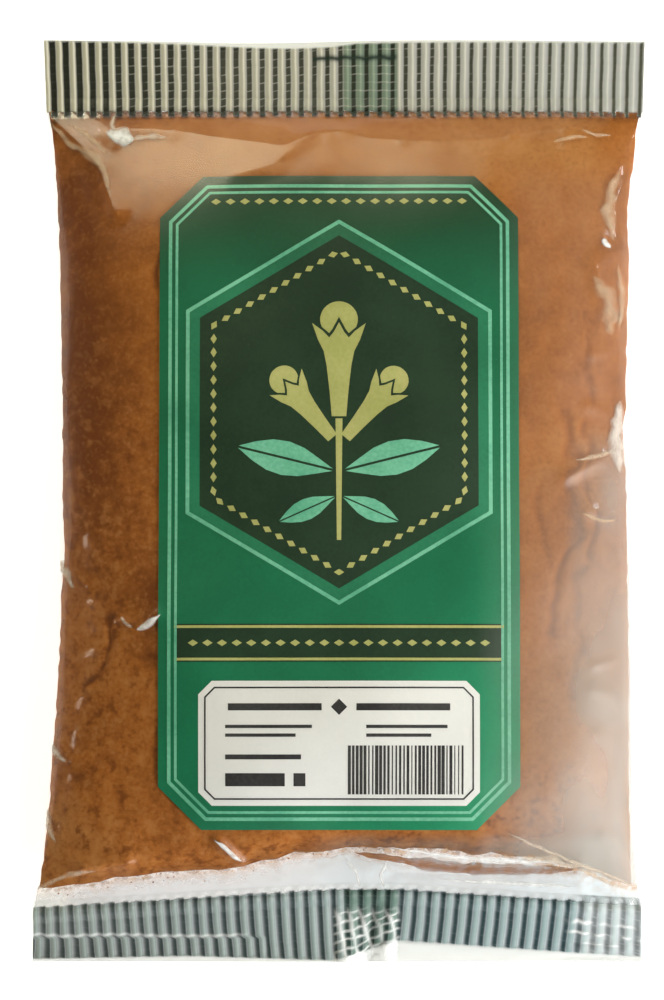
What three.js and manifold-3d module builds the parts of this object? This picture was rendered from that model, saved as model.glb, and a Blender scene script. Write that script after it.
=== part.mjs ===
// A sealed pillow pack of ground cloves in clear film, lying on its back with its printed front up.
// Millimetres: +X across the pack, +Y towards its top seal, +Z up. The origin is on the table, mid-pack.
//
// The film is one tube, closed down its back by a fin seam and across both ends by crimped seals. The powder
// fills the tube and presses the film out, so film and powder are one closed solid: a rounded body that thins
// towards both seals, with the folds that the film takes where a flat seal has to follow a full body.

import * as THREE from "three";
import { mergeVertices } from "three/addons/utils/BufferGeometryUtils.js";
import Module from "manifold-3d";

// Driving dimensions
const PACK_LENGTH = 175; // over both end seals
const SEAL_WIDTH = 115; // the film tube lies flat at this width, which the seals keep at their free edges
const SEAL_PINCH = 1.4; // the full body pulls each seal narrower by this at its inner edge
const WAIST_WIDTH = 107.3; // the full body, halfway down
const CROWN_HEIGHT = 20; // table to the highest film
const SIDE_HEIGHT = 7.2; // table to the sides, where front and back meet, and to the inner edge of both seals
const SEAL_DEPTH = 14; // crimped band at the top, along Y
const SEAL_THICKNESS = 0.7;
const RIB_RISE = 0.35; // the crimped ribs stand this far above and below the band's middle

// Derived places
const TOP_EDGE = PACK_LENGTH / 2;
const BOTTOM_EDGE = -PACK_LENGTH / 2;
const TOP_LINE = TOP_EDGE - SEAL_DEPTH; // inner edge of the top seal
const LEAN = 1.4; // the pack was gripped askew: its bottom sits this much further left than its top
const TOP_CENTRE = LEAN / 2;
const BOTTOM_CENTRE = -LEAN / 2;
const LEAN_STARTS = -20; // the lean is all in the lower part, from here down over LEAN_LENGTH
const LEAN_LENGTH = 60;

// The film is cut straight at both ends, but the crimping jaws met it askew, so a plain skirt of uneven depth
// is left beyond the ribs. The bottom seal is kinked too, where the thick fin seam crosses its middle. Each
// line below gives [x, value] from the left end to the right.
const KINK = { left: -1.5, right: 11.5, foldCount: 3, foldRise: 0.9 };
const TOP_RIB_ENDS = [[-58, TOP_EDGE], [-29, 87], [-9, 85.8], [-2, 86], [3, 86.9], [58, 87.2]];
const BOTTOM_INNER_EDGE = [[-58, -77.2], [KINK.left, -73.8], [KINK.right, -73.8], [57, -76.8]];
const BOTTOM_RIB_ENDS = [[-58, -87], [-30, -86.4], [KINK.left, -87.2], [KINK.right, -83.4], [57, -86.6]];
const BOTTOM_EDGE_HEIGHT = [[-58, 1.1], [KINK.left, 3.6], [KINK.right, 1.6], [57, 1.1]];
const BOTTOM_RIB_LEAN = [[-58, 0], [KINK.left, 0.9], [KINK.right, -1.6], [57, 0]];

// Fin seam folded flat against the back: a shallow crease at its root and one along its free edge. Their
// places are given across the waist, and they follow the film as it widens towards the seals.
const FIN = { root: 0.6, edge: 10.6, creaseDepth: 0.45, creaseHalfWidth: 0.5 };

// Fullness of the body. Its sections are superellipses: a higher `square` is fuller near the sides, and a
// higher `steep` starts flatter. The lengths are how far in from each seal a face reaches its full height.
// The table presses the back flat, so that would bulge further by `press` if it were free.
const FRONT = { square: 2.6, steep: 0.58, topLength: 34, bottomLength: 38 };
const BACK = { square: 5, steep: 0.6, topLength: 20, bottomLength: 20, press: 1.15 };
const FLARE = { slow: 2.2, fast: 12, fastShare: 0.28 }; // how the sides widen again towards the seals
const WAVE_ALLOWANCE = 0.7; // the powder's highest wave, which the crown height includes

// Mesh of the body: columns across and rows along
const COLUMN_COUNT = 36;
const ROW_COUNT = 44;
const SIDE_CROWDING = 0.38; // share by which columns crowd towards the sides
const END_CROWDING = 0.72; // and rows towards both ends
const CLOSEST_COLUMNS = 0.004;
const END_GAPE = 1.6; // thickness of the body where it runs into a seal
const END_TUCK = 0.6; // how far the body runs into each seal
const SEAL_TUCK = 1.4; // and each seal into the body
const RIB_ROWS = 2; // along a rib; one more row makes the skirt

const mix = (a, b, t) => a + (b - a) * t;
const clamp01 = (t) => Math.min(1, Math.max(0, t));
const smoothStep = (t) => clamp01(t) ** 2 * (3 - 2 * clamp01(t));

// Value at x on a line given as [x, value] pairs
function along(line, x) {
  const next = line.findIndex(([end]) => end >= x);
  if (next < 1) return line.at(next)[1]; // past either end
  const [ax, a] = line[next - 1];
  const [bx, b] = line[next];
  return mix(a, b, (x - ax) / (bx - ax));
}

// Folds in the film, in pack millimetres: each is a tent over its line, `half` wide to either side.
// They run in from the corners and along both seals, as on the photographed pack.
const FOLD_SHARPNESS = 1.4;
const FOLDS = [
  { name: "top left ear", rise: 1.9, half: 4.2, line: [[-55, 73], [-44, 64], [-40.5, 55]] },
  { name: "top ridge, left", rise: 1.1, half: 3.2, line: [[-44, 68], [-28, 66.5], [-12, 64], [-1, 67.5]] },
  { name: "top ridge, right", rise: 0.8, half: 3, line: [[-1, 67.5], [14, 66.5], [40, 69], [54, 71]] },
  { name: "soft ridge by the ear", rise: 0.8, half: 3.4, line: [[-18, 63], [-12, 59.5], [-1, 67]] },
  { name: "top right pucker", rise: 0.8, half: 2.6, line: [[55, 62], [51.6, 55], [53.5, 48]] },
  { name: "right pleat", rise: 1.3, half: 3.4, line: [[54, 47], [48, 43], [50.5, 35], [54, 28]] },
  { name: "right pucker", rise: 0.7, half: 2.4, line: [[54, 10], [48.5, 6.5], [42, 3]] },
  { name: "lower right pucker", rise: 0.6, half: 2.4, line: [[54, -6], [46.5, -3]] },
  { name: "left pleat", rise: 0.9, half: 2.4, line: [[-53.5, -11.5], [-47.5, -17.5]] },
  { name: "left pucker", rise: 0.8, half: 2.2, line: [[-54.5, -45.5], [-50.5, -50]] },
  { name: "lower left pucker", rise: 0.8, half: 2.2, line: [[-55.3, -59], [-52.4, -64.5]] },
  { name: "bottom left ear", rise: 1.2, half: 3, line: [[-56.5, -74.5], [-48, -69.5], [-40, -68.6]] },
  { name: "short bottom fold", rise: 0.9, half: 2.2, line: [[-23.5, -64], [-18.5, -69]] },
  { name: "long bottom fold", rise: 1.6, half: 3.4, line: [[8, -67.5], [26, -66], [42, -70], [56, -75]] },
  { name: "groove below it", rise: -0.9, half: 2.4, line: [[10, -70.5], [34, -71], [47, -72.5]] },
];

// Slow waves in the powder's surface: amplitude and, in waves over the pack's length, their direction
const WAVES = [
  { height: 0.28, across: 2.1, along: 3.2, phase: 0.4 },
  { height: 0.22, across: -3.4, along: 4.6, phase: 2.1 },
  { height: 0.16, across: 5.3, along: 2.7, phase: 4.0 },
];

// Middle of the pack at y
const centreAt = (y) => mix(TOP_CENTRE, BOTTOM_CENTRE, smoothStep((LEAN_STARTS - y) / LEAN_LENGTH));

// Half the width of the body at y: the tube is narrowest where it is fullest.
function halfWidthAt(y) {
  const end = (SEAL_WIDTH - SEAL_PINCH) / 2;
  const share = clamp01(y > 0 ? y / TOP_LINE : y / BOTTOM_INNER_EDGE[0][1]);
  return mix(WAIST_WIDTH / 2, end, mix(share ** FLARE.slow, share ** FLARE.fast, FLARE.fastShare));
}

// How far a fold lifts the film at (x, y)
function foldLift({ line, half, rise }, x, y) {
  let nearest = Infinity;
  for (let i = 1; i < line.length; i++) {
    const [ax, ay] = line[i - 1];
    const [bx, by] = line[i];
    const squareLength = (bx - ax) ** 2 + (by - ay) ** 2;
    const share = clamp01(((x - ax) * (bx - ax) + (y - ay) * (by - ay)) / squareLength);
    nearest = Math.min(nearest, Math.hypot(x - mix(ax, bx, share), y - mix(ay, by, share)));
  }
  return rise * clamp01(1 - nearest / half) ** FOLD_SHARPNESS;
}

function waveAt(x, y) {
  const turns = (wave) => (wave.across * x + wave.along * y) / PACK_LENGTH;
  return WAVES.reduce((sum, wave) => sum + wave.height * Math.sin(2 * Math.PI * turns(wave) + wave.phase), 0);
}

// A rounded rise from 0 at an end line to 1 at `length` inside it
const endRise = (inside, length) => (1 - clamp01(1 - inside / length) ** 2.2) ** 0.8;

// How full a face is at u across and these distances from both ends: 0 at its rim, 1 in its middle
const fullness = ({ square, steep, topLength, bottomLength }, u, fromTop, fromBottom) =>
  (1 - Math.abs(u) ** square) ** steep * endRise(fromTop, topLength) * endRise(fromBottom, bottomLength);

// How deep the creases of the fin seam are at u
const creaseAt = (u) =>
  [FIN.root, FIN.edge]
    .map((crease) => 1 - Math.abs((u * WAIST_WIDTH) / 2 - crease) / FIN.creaseHalfWidth)
    .reduce((deepest, share) => Math.max(deepest, share * FIN.creaseDepth), 0);

// Front and back height at (x, y), where u is x as a share of the half width
function surfacesAt(u, x, y, bottomLine) {
  const fromTop = TOP_LINE - y;
  const fromBottom = y - bottomLine;
  const gape = (END_GAPE / 2) * (1 - Math.abs(u) ** 6);
  const frontFull = fullness(FRONT, u, fromTop, fromBottom);
  const backFull = Math.min(1, fullness(BACK, u, fromTop, fromBottom) * BACK.press);
  const nearRim = Math.min(1, 4 * (1 - Math.abs(u)), clamp01(Math.min(fromTop, fromBottom) / 2.5));
  const folds = FOLDS.reduce((sum, fold) => sum + foldLift(fold, x, y), 0) * nearRim;
  const waves = waveAt(x, y) * smoothStep(frontFull * 2.5);
  const crown = CROWN_HEIGHT - WAVE_ALLOWANCE - SIDE_HEIGHT - gape;
  const back = SIDE_HEIGHT - gape - SIDE_HEIGHT * backFull;
  return {
    front: SIDE_HEIGHT + gape + crown * frontFull + folds + waves,
    back: back > 0 ? back : creaseAt(u),
  };
}

// Columns from left to right as shares of the half width, closer together towards the sides, with three more
// at each crease of the fin seam
function bodyColumns() {
  const even = Array.from({ length: COLUMN_COUNT + 1 }, (_, i) => (2 * i) / COLUMN_COUNT - 1);
  const columns = even.map((s) => mix(s, Math.sin((Math.PI / 2) * s), SIDE_CROWDING));
  for (const crease of [FIN.root, FIN.edge]) {
    for (const step of [-1, 0, 1]) {
      columns.push((crease + step * FIN.creaseHalfWidth) / (WAIST_WIDTH / 2));
    }
  }
  const sorted = columns.sort((a, b) => a - b);
  return sorted.filter((u, i) => i === 0 || u - sorted[i - 1] > CLOSEST_COLUMNS);
}

// The filled body as rings: along the front from left to right, then along the back from right to left
function bodyGeometry() {
  const columns = bodyColumns();
  const last = columns.length - 1;
  const ring = 2 * last; // the side points belong to both faces
  const points = [];
  for (let row = 0; row <= ROW_COUNT; row++) {
    const s = row / ROW_COUNT;
    const share = s - (END_CROWDING * Math.sin(2 * Math.PI * s)) / (2 * Math.PI);
    const at = (u) => {
      const line = along(BOTTOM_INNER_EDGE, (u * SEAL_WIDTH) / 2 + BOTTOM_CENTRE);
      const y = mix(line - END_TUCK, TOP_LINE + END_TUCK, share);
      const x = centreAt(y) + u * halfWidthAt(y);
      return { x, y, ...surfacesAt(u, x, y, line) };
    };
    const places = columns.map(at);
    places.forEach(({ x, y, front, back }, i) => {
      const atSide = i === 0 || i === last;
      points.push(x, y, atSide ? (front + back) / 2 : front);
    });
    for (let i = last - 1; i > 0; i--) {
      points.push(places[i].x, places[i].y, places[i].back);
    }
  }
  const faces = [];
  for (let row = 0; row < ROW_COUNT; row++) {
    for (let i = 0; i < ring; i++) {
      const a = row * ring + i;
      const b = row * ring + ((i + 1) % ring);
      faces.push(a, b, a + ring, b, b + ring, a + ring);
    }
  }
  for (const start of [0, ROW_COUNT * ring]) {
    for (let i = 0; i < last; i++) {
      const frontLeft = start + i;
      const frontRight = start + i + 1;
      const backLeft = start + ((ring - i) % ring);
      const backRight = start + ring - i - 1;
      const halves = [
        [frontLeft, backRight, frontRight],
        [frontLeft, backLeft, backRight],
      ];
      const whole = halves.filter((corners) => new Set(corners).size === 3); // the sides end in a point
      faces.push(...whole.flatMap(([a, b, c]) => (start === 0 ? [a, b, c] : [a, c, b])));
    }
  }
  return geometryOf(points, faces);
}

// The top seal lies almost flat. Its free edge has curled down a little left of the middle.
const TOP_CURL = { x: -15, halfWidth: 16, drop: 1.8 };
const TOP_DROOP = { drop: 0.6, sway: 0.5, swayLength: 14 };
const topSealBand = {
  ribCount: 46,
  centre: TOP_CENTRE,
  edge: TOP_EDGE,
  inner: () => TOP_LINE,
  ribEnd: (x) => along(TOP_RIB_ENDS, x),
  edgeHeight: (x) => {
    const curl = TOP_CURL.drop * Math.exp(-(((x - TOP_CURL.x) / TOP_CURL.halfWidth) ** 2));
    return SIDE_HEIGHT - TOP_DROOP.drop - curl + TOP_DROOP.sway * Math.sin(x / TOP_DROOP.swayLength);
  },
  ribLean: () => 0,
  gather: () => 0,
};

// The bottom seal droops to the table on both sides of its kink, where it is gathered into small folds.
const bottomSealBand = {
  ribCount: 44,
  centre: BOTTOM_CENTRE,
  edge: BOTTOM_EDGE,
  inner: (x) => along(BOTTOM_INNER_EDGE, x),
  ribEnd: (x) => along(BOTTOM_RIB_ENDS, x),
  edgeHeight: (x) => along(BOTTOM_EDGE_HEIGHT, x),
  ribLean: (x) => along(BOTTOM_RIB_LEAN, x),
  gather: (x) => {
    const share = clamp01((x - KINK.left) / (KINK.right - KINK.left));
    return KINK.foldRise * Math.sin(share * Math.PI * KINK.foldCount);
  },
};

// A crimped band as a thin zigzag sheet from just inside the body to where its ribs end, then the flat skirt
function sealGeometry(band) {
  const columnCount = 2 * band.ribCount;
  const rowCount = RIB_ROWS + 1;
  const points = [];
  for (let row = 0; row <= rowCount; row++) {
    const isSkirt = row === rowCount;
    for (let i = 0; i <= columnCount; i++) {
      const across = i / columnCount - 0.5;
      const flatX = band.centre + SEAL_WIDTH * across;
      const start = band.inner(flatX) - SEAL_TUCK * Math.sign(band.edge);
      const y = isSkirt ? band.edge : mix(start, band.ribEnd(flatX), row / RIB_ROWS);
      const share = (y - start) / (band.edge - start);
      const pinch = SEAL_PINCH * (1 - share) * across;
      const x = flatX - pinch + band.ribLean(flatX) * share;
      const rib = isSkirt ? 0 : RIB_RISE * (i % 2 ? 1 : -1);
      const middle = mix(SIDE_HEIGHT, band.edgeHeight(flatX), smoothStep(share));
      const z = middle + rib + band.gather(flatX) * share;
      points.push(x, y, z + SEAL_THICKNESS / 2, x, y, z - SEAL_THICKNESS / 2);
    }
  }
  const faces = [];
  const rowLength = 2 * (columnCount + 1);
  const quad = (a, b, c, d) => (band.edge > 0 ? faces.push(a, b, c, a, c, d) : faces.push(d, c, b, d, b, a));
  for (let row = 0; row < rowCount; row++) {
    for (let i = 0; i < columnCount; i++) {
      const a = row * rowLength + 2 * i;
      quad(a, a + 2, a + rowLength + 2, a + rowLength);
      quad(a + 1, a + rowLength + 1, a + rowLength + 3, a + 3);
    }
    const left = row * rowLength;
    const right = left + 2 * columnCount;
    quad(left, left + rowLength, left + rowLength + 1, left + 1);
    quad(right, right + 1, right + rowLength + 1, right + rowLength);
  }
  const free = rowCount * rowLength;
  for (let near = 0; near < 2 * columnCount; near += 2) {
    quad(near, near + 1, near + 3, near + 2);
    quad(free + near, free + near + 2, free + near + 3, free + near + 1);
  }
  return geometryOf(points, faces);
}

function geometryOf(points, faces) {
  return new THREE.BufferGeometry()
    .setAttribute("position", new THREE.Float32BufferAttribute(points, 3))
    .setIndex(faces);
}

const wasm = await Module();
wasm.setup();

function toSolid(geometry) {
  const merged = mergeVertices(geometry, 1e-4);
  return new wasm.Manifold(
    new wasm.Mesh({
      numProp: 3,
      vertProperties: merged.attributes.position.array,
      triVerts: new Uint32Array(merged.index.array),
    }),
  );
}

function toGeometry(solid) {
  const mesh = solid.getMesh();
  const geometry = new THREE.BufferGeometry()
    .setAttribute("position", new THREE.BufferAttribute(mesh.vertProperties, 3))
    .setIndex(new THREE.BufferAttribute(mesh.triVerts, 1));
  geometry.computeVertexNormals();
  return geometry;
}

const filledBody = toSolid(bodyGeometry());
const topSeal = toSolid(sealGeometry(topSealBand));
const bottomSeal = toSolid(sealGeometry(bottomSealBand));

const bag = new THREE.Mesh(
  toGeometry(filledBody.add(topSeal).add(bottomSeal)),
  new THREE.MeshStandardMaterial({ color: 0x9a5f30, roughness: 0.35, metalness: 0 }),
);
bag.name = "bag";

const pack = new THREE.Group();
pack.add(bag);

export default pack;
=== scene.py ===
# %% [markdown]
# # A sealed film pack of ground cloves
#
# The object is a pillow pack: one tube of clear film, welded down its back by a fin seam and across both ends
# by crimped seals, and filled with brown ground cloves. A green panel is printed on its front. The pack lies
# on its back, because a full pillow pack can't stand.
#
# We build it as it is made: the film first, then the powder that fills it, the crimped seals, the fin seam,
# the print, and last the light and the camera. Shapes are worked out in millimetres and turned to metres when
# a mesh is made.

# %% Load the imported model
import math

import bpy
import numpy as np
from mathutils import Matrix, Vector
from mathutils.geometry import delaunay_2d_cdt


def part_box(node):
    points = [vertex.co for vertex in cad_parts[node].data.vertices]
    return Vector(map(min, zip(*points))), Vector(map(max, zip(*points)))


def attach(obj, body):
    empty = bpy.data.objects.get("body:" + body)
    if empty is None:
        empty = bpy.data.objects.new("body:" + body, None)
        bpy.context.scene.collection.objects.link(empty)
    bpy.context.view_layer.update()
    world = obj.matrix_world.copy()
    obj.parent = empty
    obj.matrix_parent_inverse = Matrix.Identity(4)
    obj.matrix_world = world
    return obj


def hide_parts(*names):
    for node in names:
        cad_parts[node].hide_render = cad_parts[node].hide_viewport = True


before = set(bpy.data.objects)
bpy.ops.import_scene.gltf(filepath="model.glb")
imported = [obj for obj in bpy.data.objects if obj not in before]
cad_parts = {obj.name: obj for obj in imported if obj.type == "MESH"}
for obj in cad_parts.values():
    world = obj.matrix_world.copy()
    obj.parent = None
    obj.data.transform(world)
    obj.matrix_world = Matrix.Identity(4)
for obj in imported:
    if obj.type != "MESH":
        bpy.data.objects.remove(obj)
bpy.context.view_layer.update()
MM = 0.001
bag_low, bag_high = (np.array(corner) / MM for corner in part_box("bag"))
print("pack, mm:", np.round(bag_high - bag_low, 1))

# %% [markdown]
# ## The pack's form
#
# The whole pack follows one rule, and every later piece reads it: how high are the front film and the back
# film above any point (x, y) of the table? We could sculpt such a form, but a rule keeps film, powder and
# print exactly in step, because each of them asks for the same heights and only adds its own small offset.
#
# The main numbers are those of the solid model. The front is a superellipse across and a rounded rise from
# each seal, and the table presses the back flat.

# %% Driving dimensions, in millimetres
LEAN = 1.4  # the bottom sits this much further left than the top
TOP_EDGE, BOTTOM_EDGE = bag_high[1] - 0.05, bag_low[1] + 0.05
SEAL_WIDTH = bag_high[0] - bag_low[0] - LEAN - 0.1
SEAL_PINCH = 1.4
SEAL_DEPTH = 14
WAIST_WIDTH = 107.3
CROWN_HEIGHT = 20
SIDE_HEIGHT = 7.2
WAVE_ALLOWANCE = 0.7
END_GAPE = 1.2
TOP_LINE = TOP_EDGE - SEAL_DEPTH
CENTRES = {"top": LEAN / 2, "bottom": -LEAN / 2}
LEAN_STARTS, LEAN_LENGTH = -20, 60
KINK = (-1.5, 11.5)  # the bottom seal is gathered between these two places
BOTTOM_INNER_EDGE = [(-58, -77.2), (KINK[0], -73.8), (KINK[1], -73.8), (57, -76.8)]
FRONT = {"square": 2.6, "steep": 0.58, "top": 34, "bottom": 38, "press": 1}
BACK = {"square": 5, "steep": 0.6, "top": 20, "bottom": 20, "press": 1.15}
FLARE = {"slow": 2.2, "fast": 12, "fast_share": 0.28}
WAVES = [(0.28, 2.1, 3.2, 0.4), (0.22, -3.4, 4.6, 2.1), (0.16, 5.3, 2.7, 4.0)]


def mix(a, b, t):
    return a + (b - a) * t


def smooth_step(t):
    t = np.clip(t, 0, 1)
    return t * t * (3 - 2 * t)


def box_share(value, low, high, soft):
    """1 between low and high, falling to 0 over `soft` outside them."""
    return smooth_step((value - low) / soft + 1) * smooth_step((high - value) / soft + 1)


def along(line, x):
    """Value at x on a line given as (x, value) pairs."""
    return np.interp(x, *zip(*line))


def centre_at(y):
    return mix(CENTRES["top"], CENTRES["bottom"], smooth_step((LEAN_STARTS - y) / LEAN_LENGTH))


def half_width_at(y):
    share = np.clip(np.where(y > 0, y / TOP_LINE, y / BOTTOM_INNER_EDGE[0][1]), 0, 1)
    widening = mix(share ** FLARE["slow"], share ** FLARE["fast"], FLARE["fast_share"])
    return mix(WAIST_WIDTH / 2, (SEAL_WIDTH - SEAL_PINCH) / 2, widening)


# %% [markdown]
# ## Folds and puckers in the film
#
# Film can't stretch, so where it goes from a flat seal to a full body the spare width stands up in folds.
# Each is a small tent over a line. The large ones are those of the solid model, at the places where the real
# pack has them. The small ones are drawn by chance: short gathers that run in from both seals, and puckers
# along the sides. A cloth simulation could find folds too, but it wouldn't put them at these places.

# %% Folds
# rise, half width, then the line's points
FOLDS = [
    (1.3, 3.2, [(-56, 73), (-50, 67.5), (-45.5, 62), (-42.5, 53)]),
    (0.35, 3.4, [(-47, 68.5), (-39, 69.6), (-30, 68.8), (-18, 66.8), (-11, 65.6), (-5, 68.6), (0, 69)]),
    (0.3, 3.0, [(0, 69), (6, 67.2), (16, 66.8), (27, 67.2), (39, 69.2), (47, 69.6), (51, 68)]),
    (0.25, 3.4, [(-20, 60), (-13, 62), (-6, 68)]),
    (0.8, 2.6, [(55, 62), (51.6, 55), (53.5, 48)]),
    (1.3, 3.4, [(54, 47), (48, 43), (50.5, 35), (54, 28)]),
    (0.7, 2.4, [(54, 10), (48.5, 6.5), (42, 3)]),
    (0.6, 2.4, [(54, -6), (46.5, -3)]),
    (0.9, 2.4, [(-53.5, -11.5), (-47.5, -17.5)]),
    (0.5, 1.4, [(-41, -23.5), (-38.5, -25)]),
    (0.6, 1.6, [(-36.5, -25), (-34, -22.6)]),
    (0.8, 2.2, [(-54.5, -45.5), (-50.5, -50)]),
    (0.8, 2.2, [(-55.3, -59), (-52.4, -64.5)]),
    (1.2, 3.0, [(-56.5, -74.5), (-48, -69.5), (-40, -68.6)]),
    (0.9, 1.8, [(-22.8, -64.6), (-18.8, -68.6)]),
    (1.1, 3.0, [(8, -66), (26, -66.5), (42, -69.5), (56, -74)]),
    (-0.5, 2.2, [(10, -70.5), (34, -71), (47, -72.5)]),
]
FOLD_SHARPNESS = 1.4
GATHER_COUNT = 14  # at each seal
GATHER_ENDS = (-54, 54)
PUCKER_COUNT = 11  # down each side
PUCKER_ENDS = (-70, 68)
BOTTOM_GATHER_LINE = -75.5


def small_folds(seed):
    """Gathers at both seals and puckers down both sides."""
    rng = np.random.default_rng(seed)
    folds = []
    for seal_y, inwards in ((TOP_LINE, -1), (BOTTOM_GATHER_LINE, 1)):
        for i in range(GATHER_COUNT):
            x = mix(*GATHER_ENDS, (i + rng.uniform(0.1, 0.9)) / GATHER_COUNT)
            length = rng.uniform(3.5, 8)
            tip = (x * 0.97 + rng.uniform(-1.5, 1.5), seal_y + inwards * length)
            folds.append((rng.uniform(0.08, 0.22), rng.uniform(1.2, 2.0), [(x, seal_y), tip]))
    for side in (-1, 1):
        for i in range(PUCKER_COUNT):
            y = mix(*PUCKER_ENDS, (i + rng.uniform(0.1, 0.9)) / PUCKER_COUNT)
            rim = centre_at(y) + side * half_width_at(y)
            tip = (rim - side * rng.uniform(3, 8), y + rng.uniform(-5, 5))
            folds.append((rng.uniform(0.15, 0.45), rng.uniform(1.4, 2.4), [(float(rim), float(y)), tip]))
    return folds


ALL_FOLDS = FOLDS + small_folds(seed=4)


def away_from(line, x, y, sway=0):
    """Distance of points from a line of straight stretches. `sway` makes the line waver sideways."""
    nearest = np.full_like(x, np.inf)
    for (ax, ay), (bx, by) in zip(line, line[1:]):
        run_x, run_y = bx - ax, by - ay
        share = np.clip(((x - ax) * run_x + (y - ay) * run_y) / (run_x ** 2 + run_y ** 2), 0, 1)
        nearest = np.minimum(nearest, np.hypot(x + sway - mix(ax, bx, share), y - mix(ay, by, share)))
    return nearest


def fold_lift(x, y):
    """How far the folds together lift the film."""
    total = np.zeros_like(x)
    for rise, half, line in ALL_FOLDS:
        total += rise * np.clip(1 - away_from(line, x, y) / half, 0, 1) ** FOLD_SHARPNESS
    return total


print(len(FOLDS), "large folds and", len(ALL_FOLDS) - len(FOLDS), "small ones")

# %% [markdown]
# ## Heights of the film
#
# Uneven powder behind the film makes broad, shallow waves, and the film itself stays slightly faceted.
# `noise` gives smooth random numbers on a lattice of any cell size: turned by its seed, so that no two of its
# layers line up, it serves the film here and the powder later.

# %% Film heights
def noise(x, y, cell, seed):
    """Smooth random values from -1 to 1 that change over `cell` millimetres."""
    size = 128
    table = np.random.default_rng(seed).uniform(-1, 1, (size, size))
    turn = seed * 2.4
    across = (x * math.cos(turn) - y * math.sin(turn)) / cell
    up = (x * math.sin(turn) + y * math.cos(turn)) / cell
    i, j = np.floor(across).astype(int), np.floor(up).astype(int)
    s, t = smooth_step(across - i), smooth_step(up - j)
    low = mix(table[i % size, j % size], table[(i + 1) % size, j % size], s)
    high = mix(table[i % size, (j + 1) % size], table[(i + 1) % size, (j + 1) % size], s)
    return mix(low, high, t)


END_SOFTNESS = 2.5  # mm from a seal over which folds and facets fade in
BACK_ROUNDING = 0.35  # the film leaves the table in a small curve, not in a crease
SKIN_CLEARANCE = 0.02  # mm that the film keeps inside the solid model's highest and lowest places


def wave_height(x, y):
    length = TOP_EDGE - BOTTOM_EDGE
    return sum(rise * np.sin(2 * np.pi * (a * x + b * y) / length + phase) for rise, a, b, phase in WAVES)


def end_rise(inside, length):
    """A rounded rise from 0 at an end line to 1 at `length` inside it."""
    return (1 - np.clip(1 - inside / length, 0, 1) ** 2.2) ** 0.8


def fullness(face, u, from_top, from_bottom):
    """How full a face is: 0 at its rim, 1 in its middle."""
    across = (1 - np.abs(u) ** face["square"]) ** face["steep"]
    full = across * end_rise(from_top, face["top"]) * end_rise(from_bottom, face["bottom"])
    return np.minimum(1, full * face["press"])


def film_at(x, y):
    """Heights of the front film and the back film over the points (x, y)."""
    u = np.clip((x - centre_at(y)) / half_width_at(y), -1, 1)
    from_top = TOP_LINE - y
    from_bottom = y - along(BOTTOM_INNER_EDGE, u * SEAL_WIDTH / 2 + CENTRES["bottom"])
    gape = END_GAPE / 2 * (1 - np.abs(u) ** 6)
    front_full = fullness(FRONT, u, from_top, from_bottom)
    from_end = np.clip(np.minimum(from_top, from_bottom) / END_SOFTNESS, 0, 1)
    from_rim = np.clip(np.minimum(4 * (1 - np.abs(u)), from_end), 0, 1)
    facets = 0.10 * (np.sqrt(noise(x, y, 13, 1) ** 2 + 0.012) - 0.4) + 0.03 * noise(x, y, 5, 2)
    relief = (wave_height(x, y) + facets * from_rim) * smooth_step(front_full * 2.5)
    relief = relief + fold_lift(x, y) * from_rim
    crown = CROWN_HEIGHT - WAVE_ALLOWANCE - SIDE_HEIGHT - gape
    front = SIDE_HEIGHT + gape + crown * front_full + relief
    back = SIDE_HEIGHT - gape - SIDE_HEIGHT * fullness(BACK, u, from_top, from_bottom)
    back = 0.5 * (back + np.sqrt(back ** 2 + BACK_ROUNDING ** 2)) + SKIN_CLEARANCE
    return np.minimum(front, bag_high[2] - SKIN_CLEARANCE), np.minimum(back, SIDE_HEIGHT)


# %% [markdown]
# ## Builders for meshes
#
# All but the print is laid out as grids of points in rows, either open or closed to a ring, so a few builders
# serve them all.
#
# Film and powder are both closed skins: a front grid and a back grid that meet at the sides, with a strip
# that zips them together at each end. The back is smoother, so it gets fewer columns. One function builds
# such a skin from its two grids, so each piece only has to say where its points are.

# %% Mesh builders
def add_object(name, data):
    made = bpy.data.objects.new(name, data)
    bpy.context.scene.collection.objects.link(made)
    return made


def add_piece(name, points, faces):
    """A smooth-shaded mesh object from points in millimetres."""
    mesh = bpy.data.meshes.new(name)
    mesh.from_pydata((np.asarray(points, float) * MM).tolist(), [], faces)
    mesh.polygons.foreach_set("use_smooth", [True] * len(mesh.polygons))
    print(f"{name}: {len(mesh.vertices)} points, {len(mesh.polygons)} faces")
    return add_object(name, mesh)


def grid_faces(rows, columns):
    """Quads of an open grid whose points are listed row by row."""
    a = (np.arange(rows - 1)[:, None] * columns + np.arange(columns - 1)).ravel()
    return np.stack([a, a + 1, a + columns + 1, a + columns], -1).tolist()


def ring_faces(rings, around):
    """Quads of a grid whose rows are closed to rings."""
    start = np.arange(rings - 1)[:, None] * around
    here, following = start + np.arange(around), start + (np.arange(around) + 1) % around
    return np.stack([here, following, following + around, here + around], -1).reshape(-1, 4).tolist()


def turned_over(quads):
    return [(a, d, c, b) for a, b, c, d in quads]


def store(piece, name, values):
    """Stores one number per point on a piece."""
    attribute = piece.data.attributes.new(name, "FLOAT", "POINT")
    attribute.data.foreach_set("value", np.asarray(values, np.float32).ravel())


def points_of(piece):
    flat = np.empty(3 * len(piece.data.vertices), np.float32)
    piece.data.vertices.foreach_get("co", flat)
    return flat.reshape(-1, 3).astype(float) / MM


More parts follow.
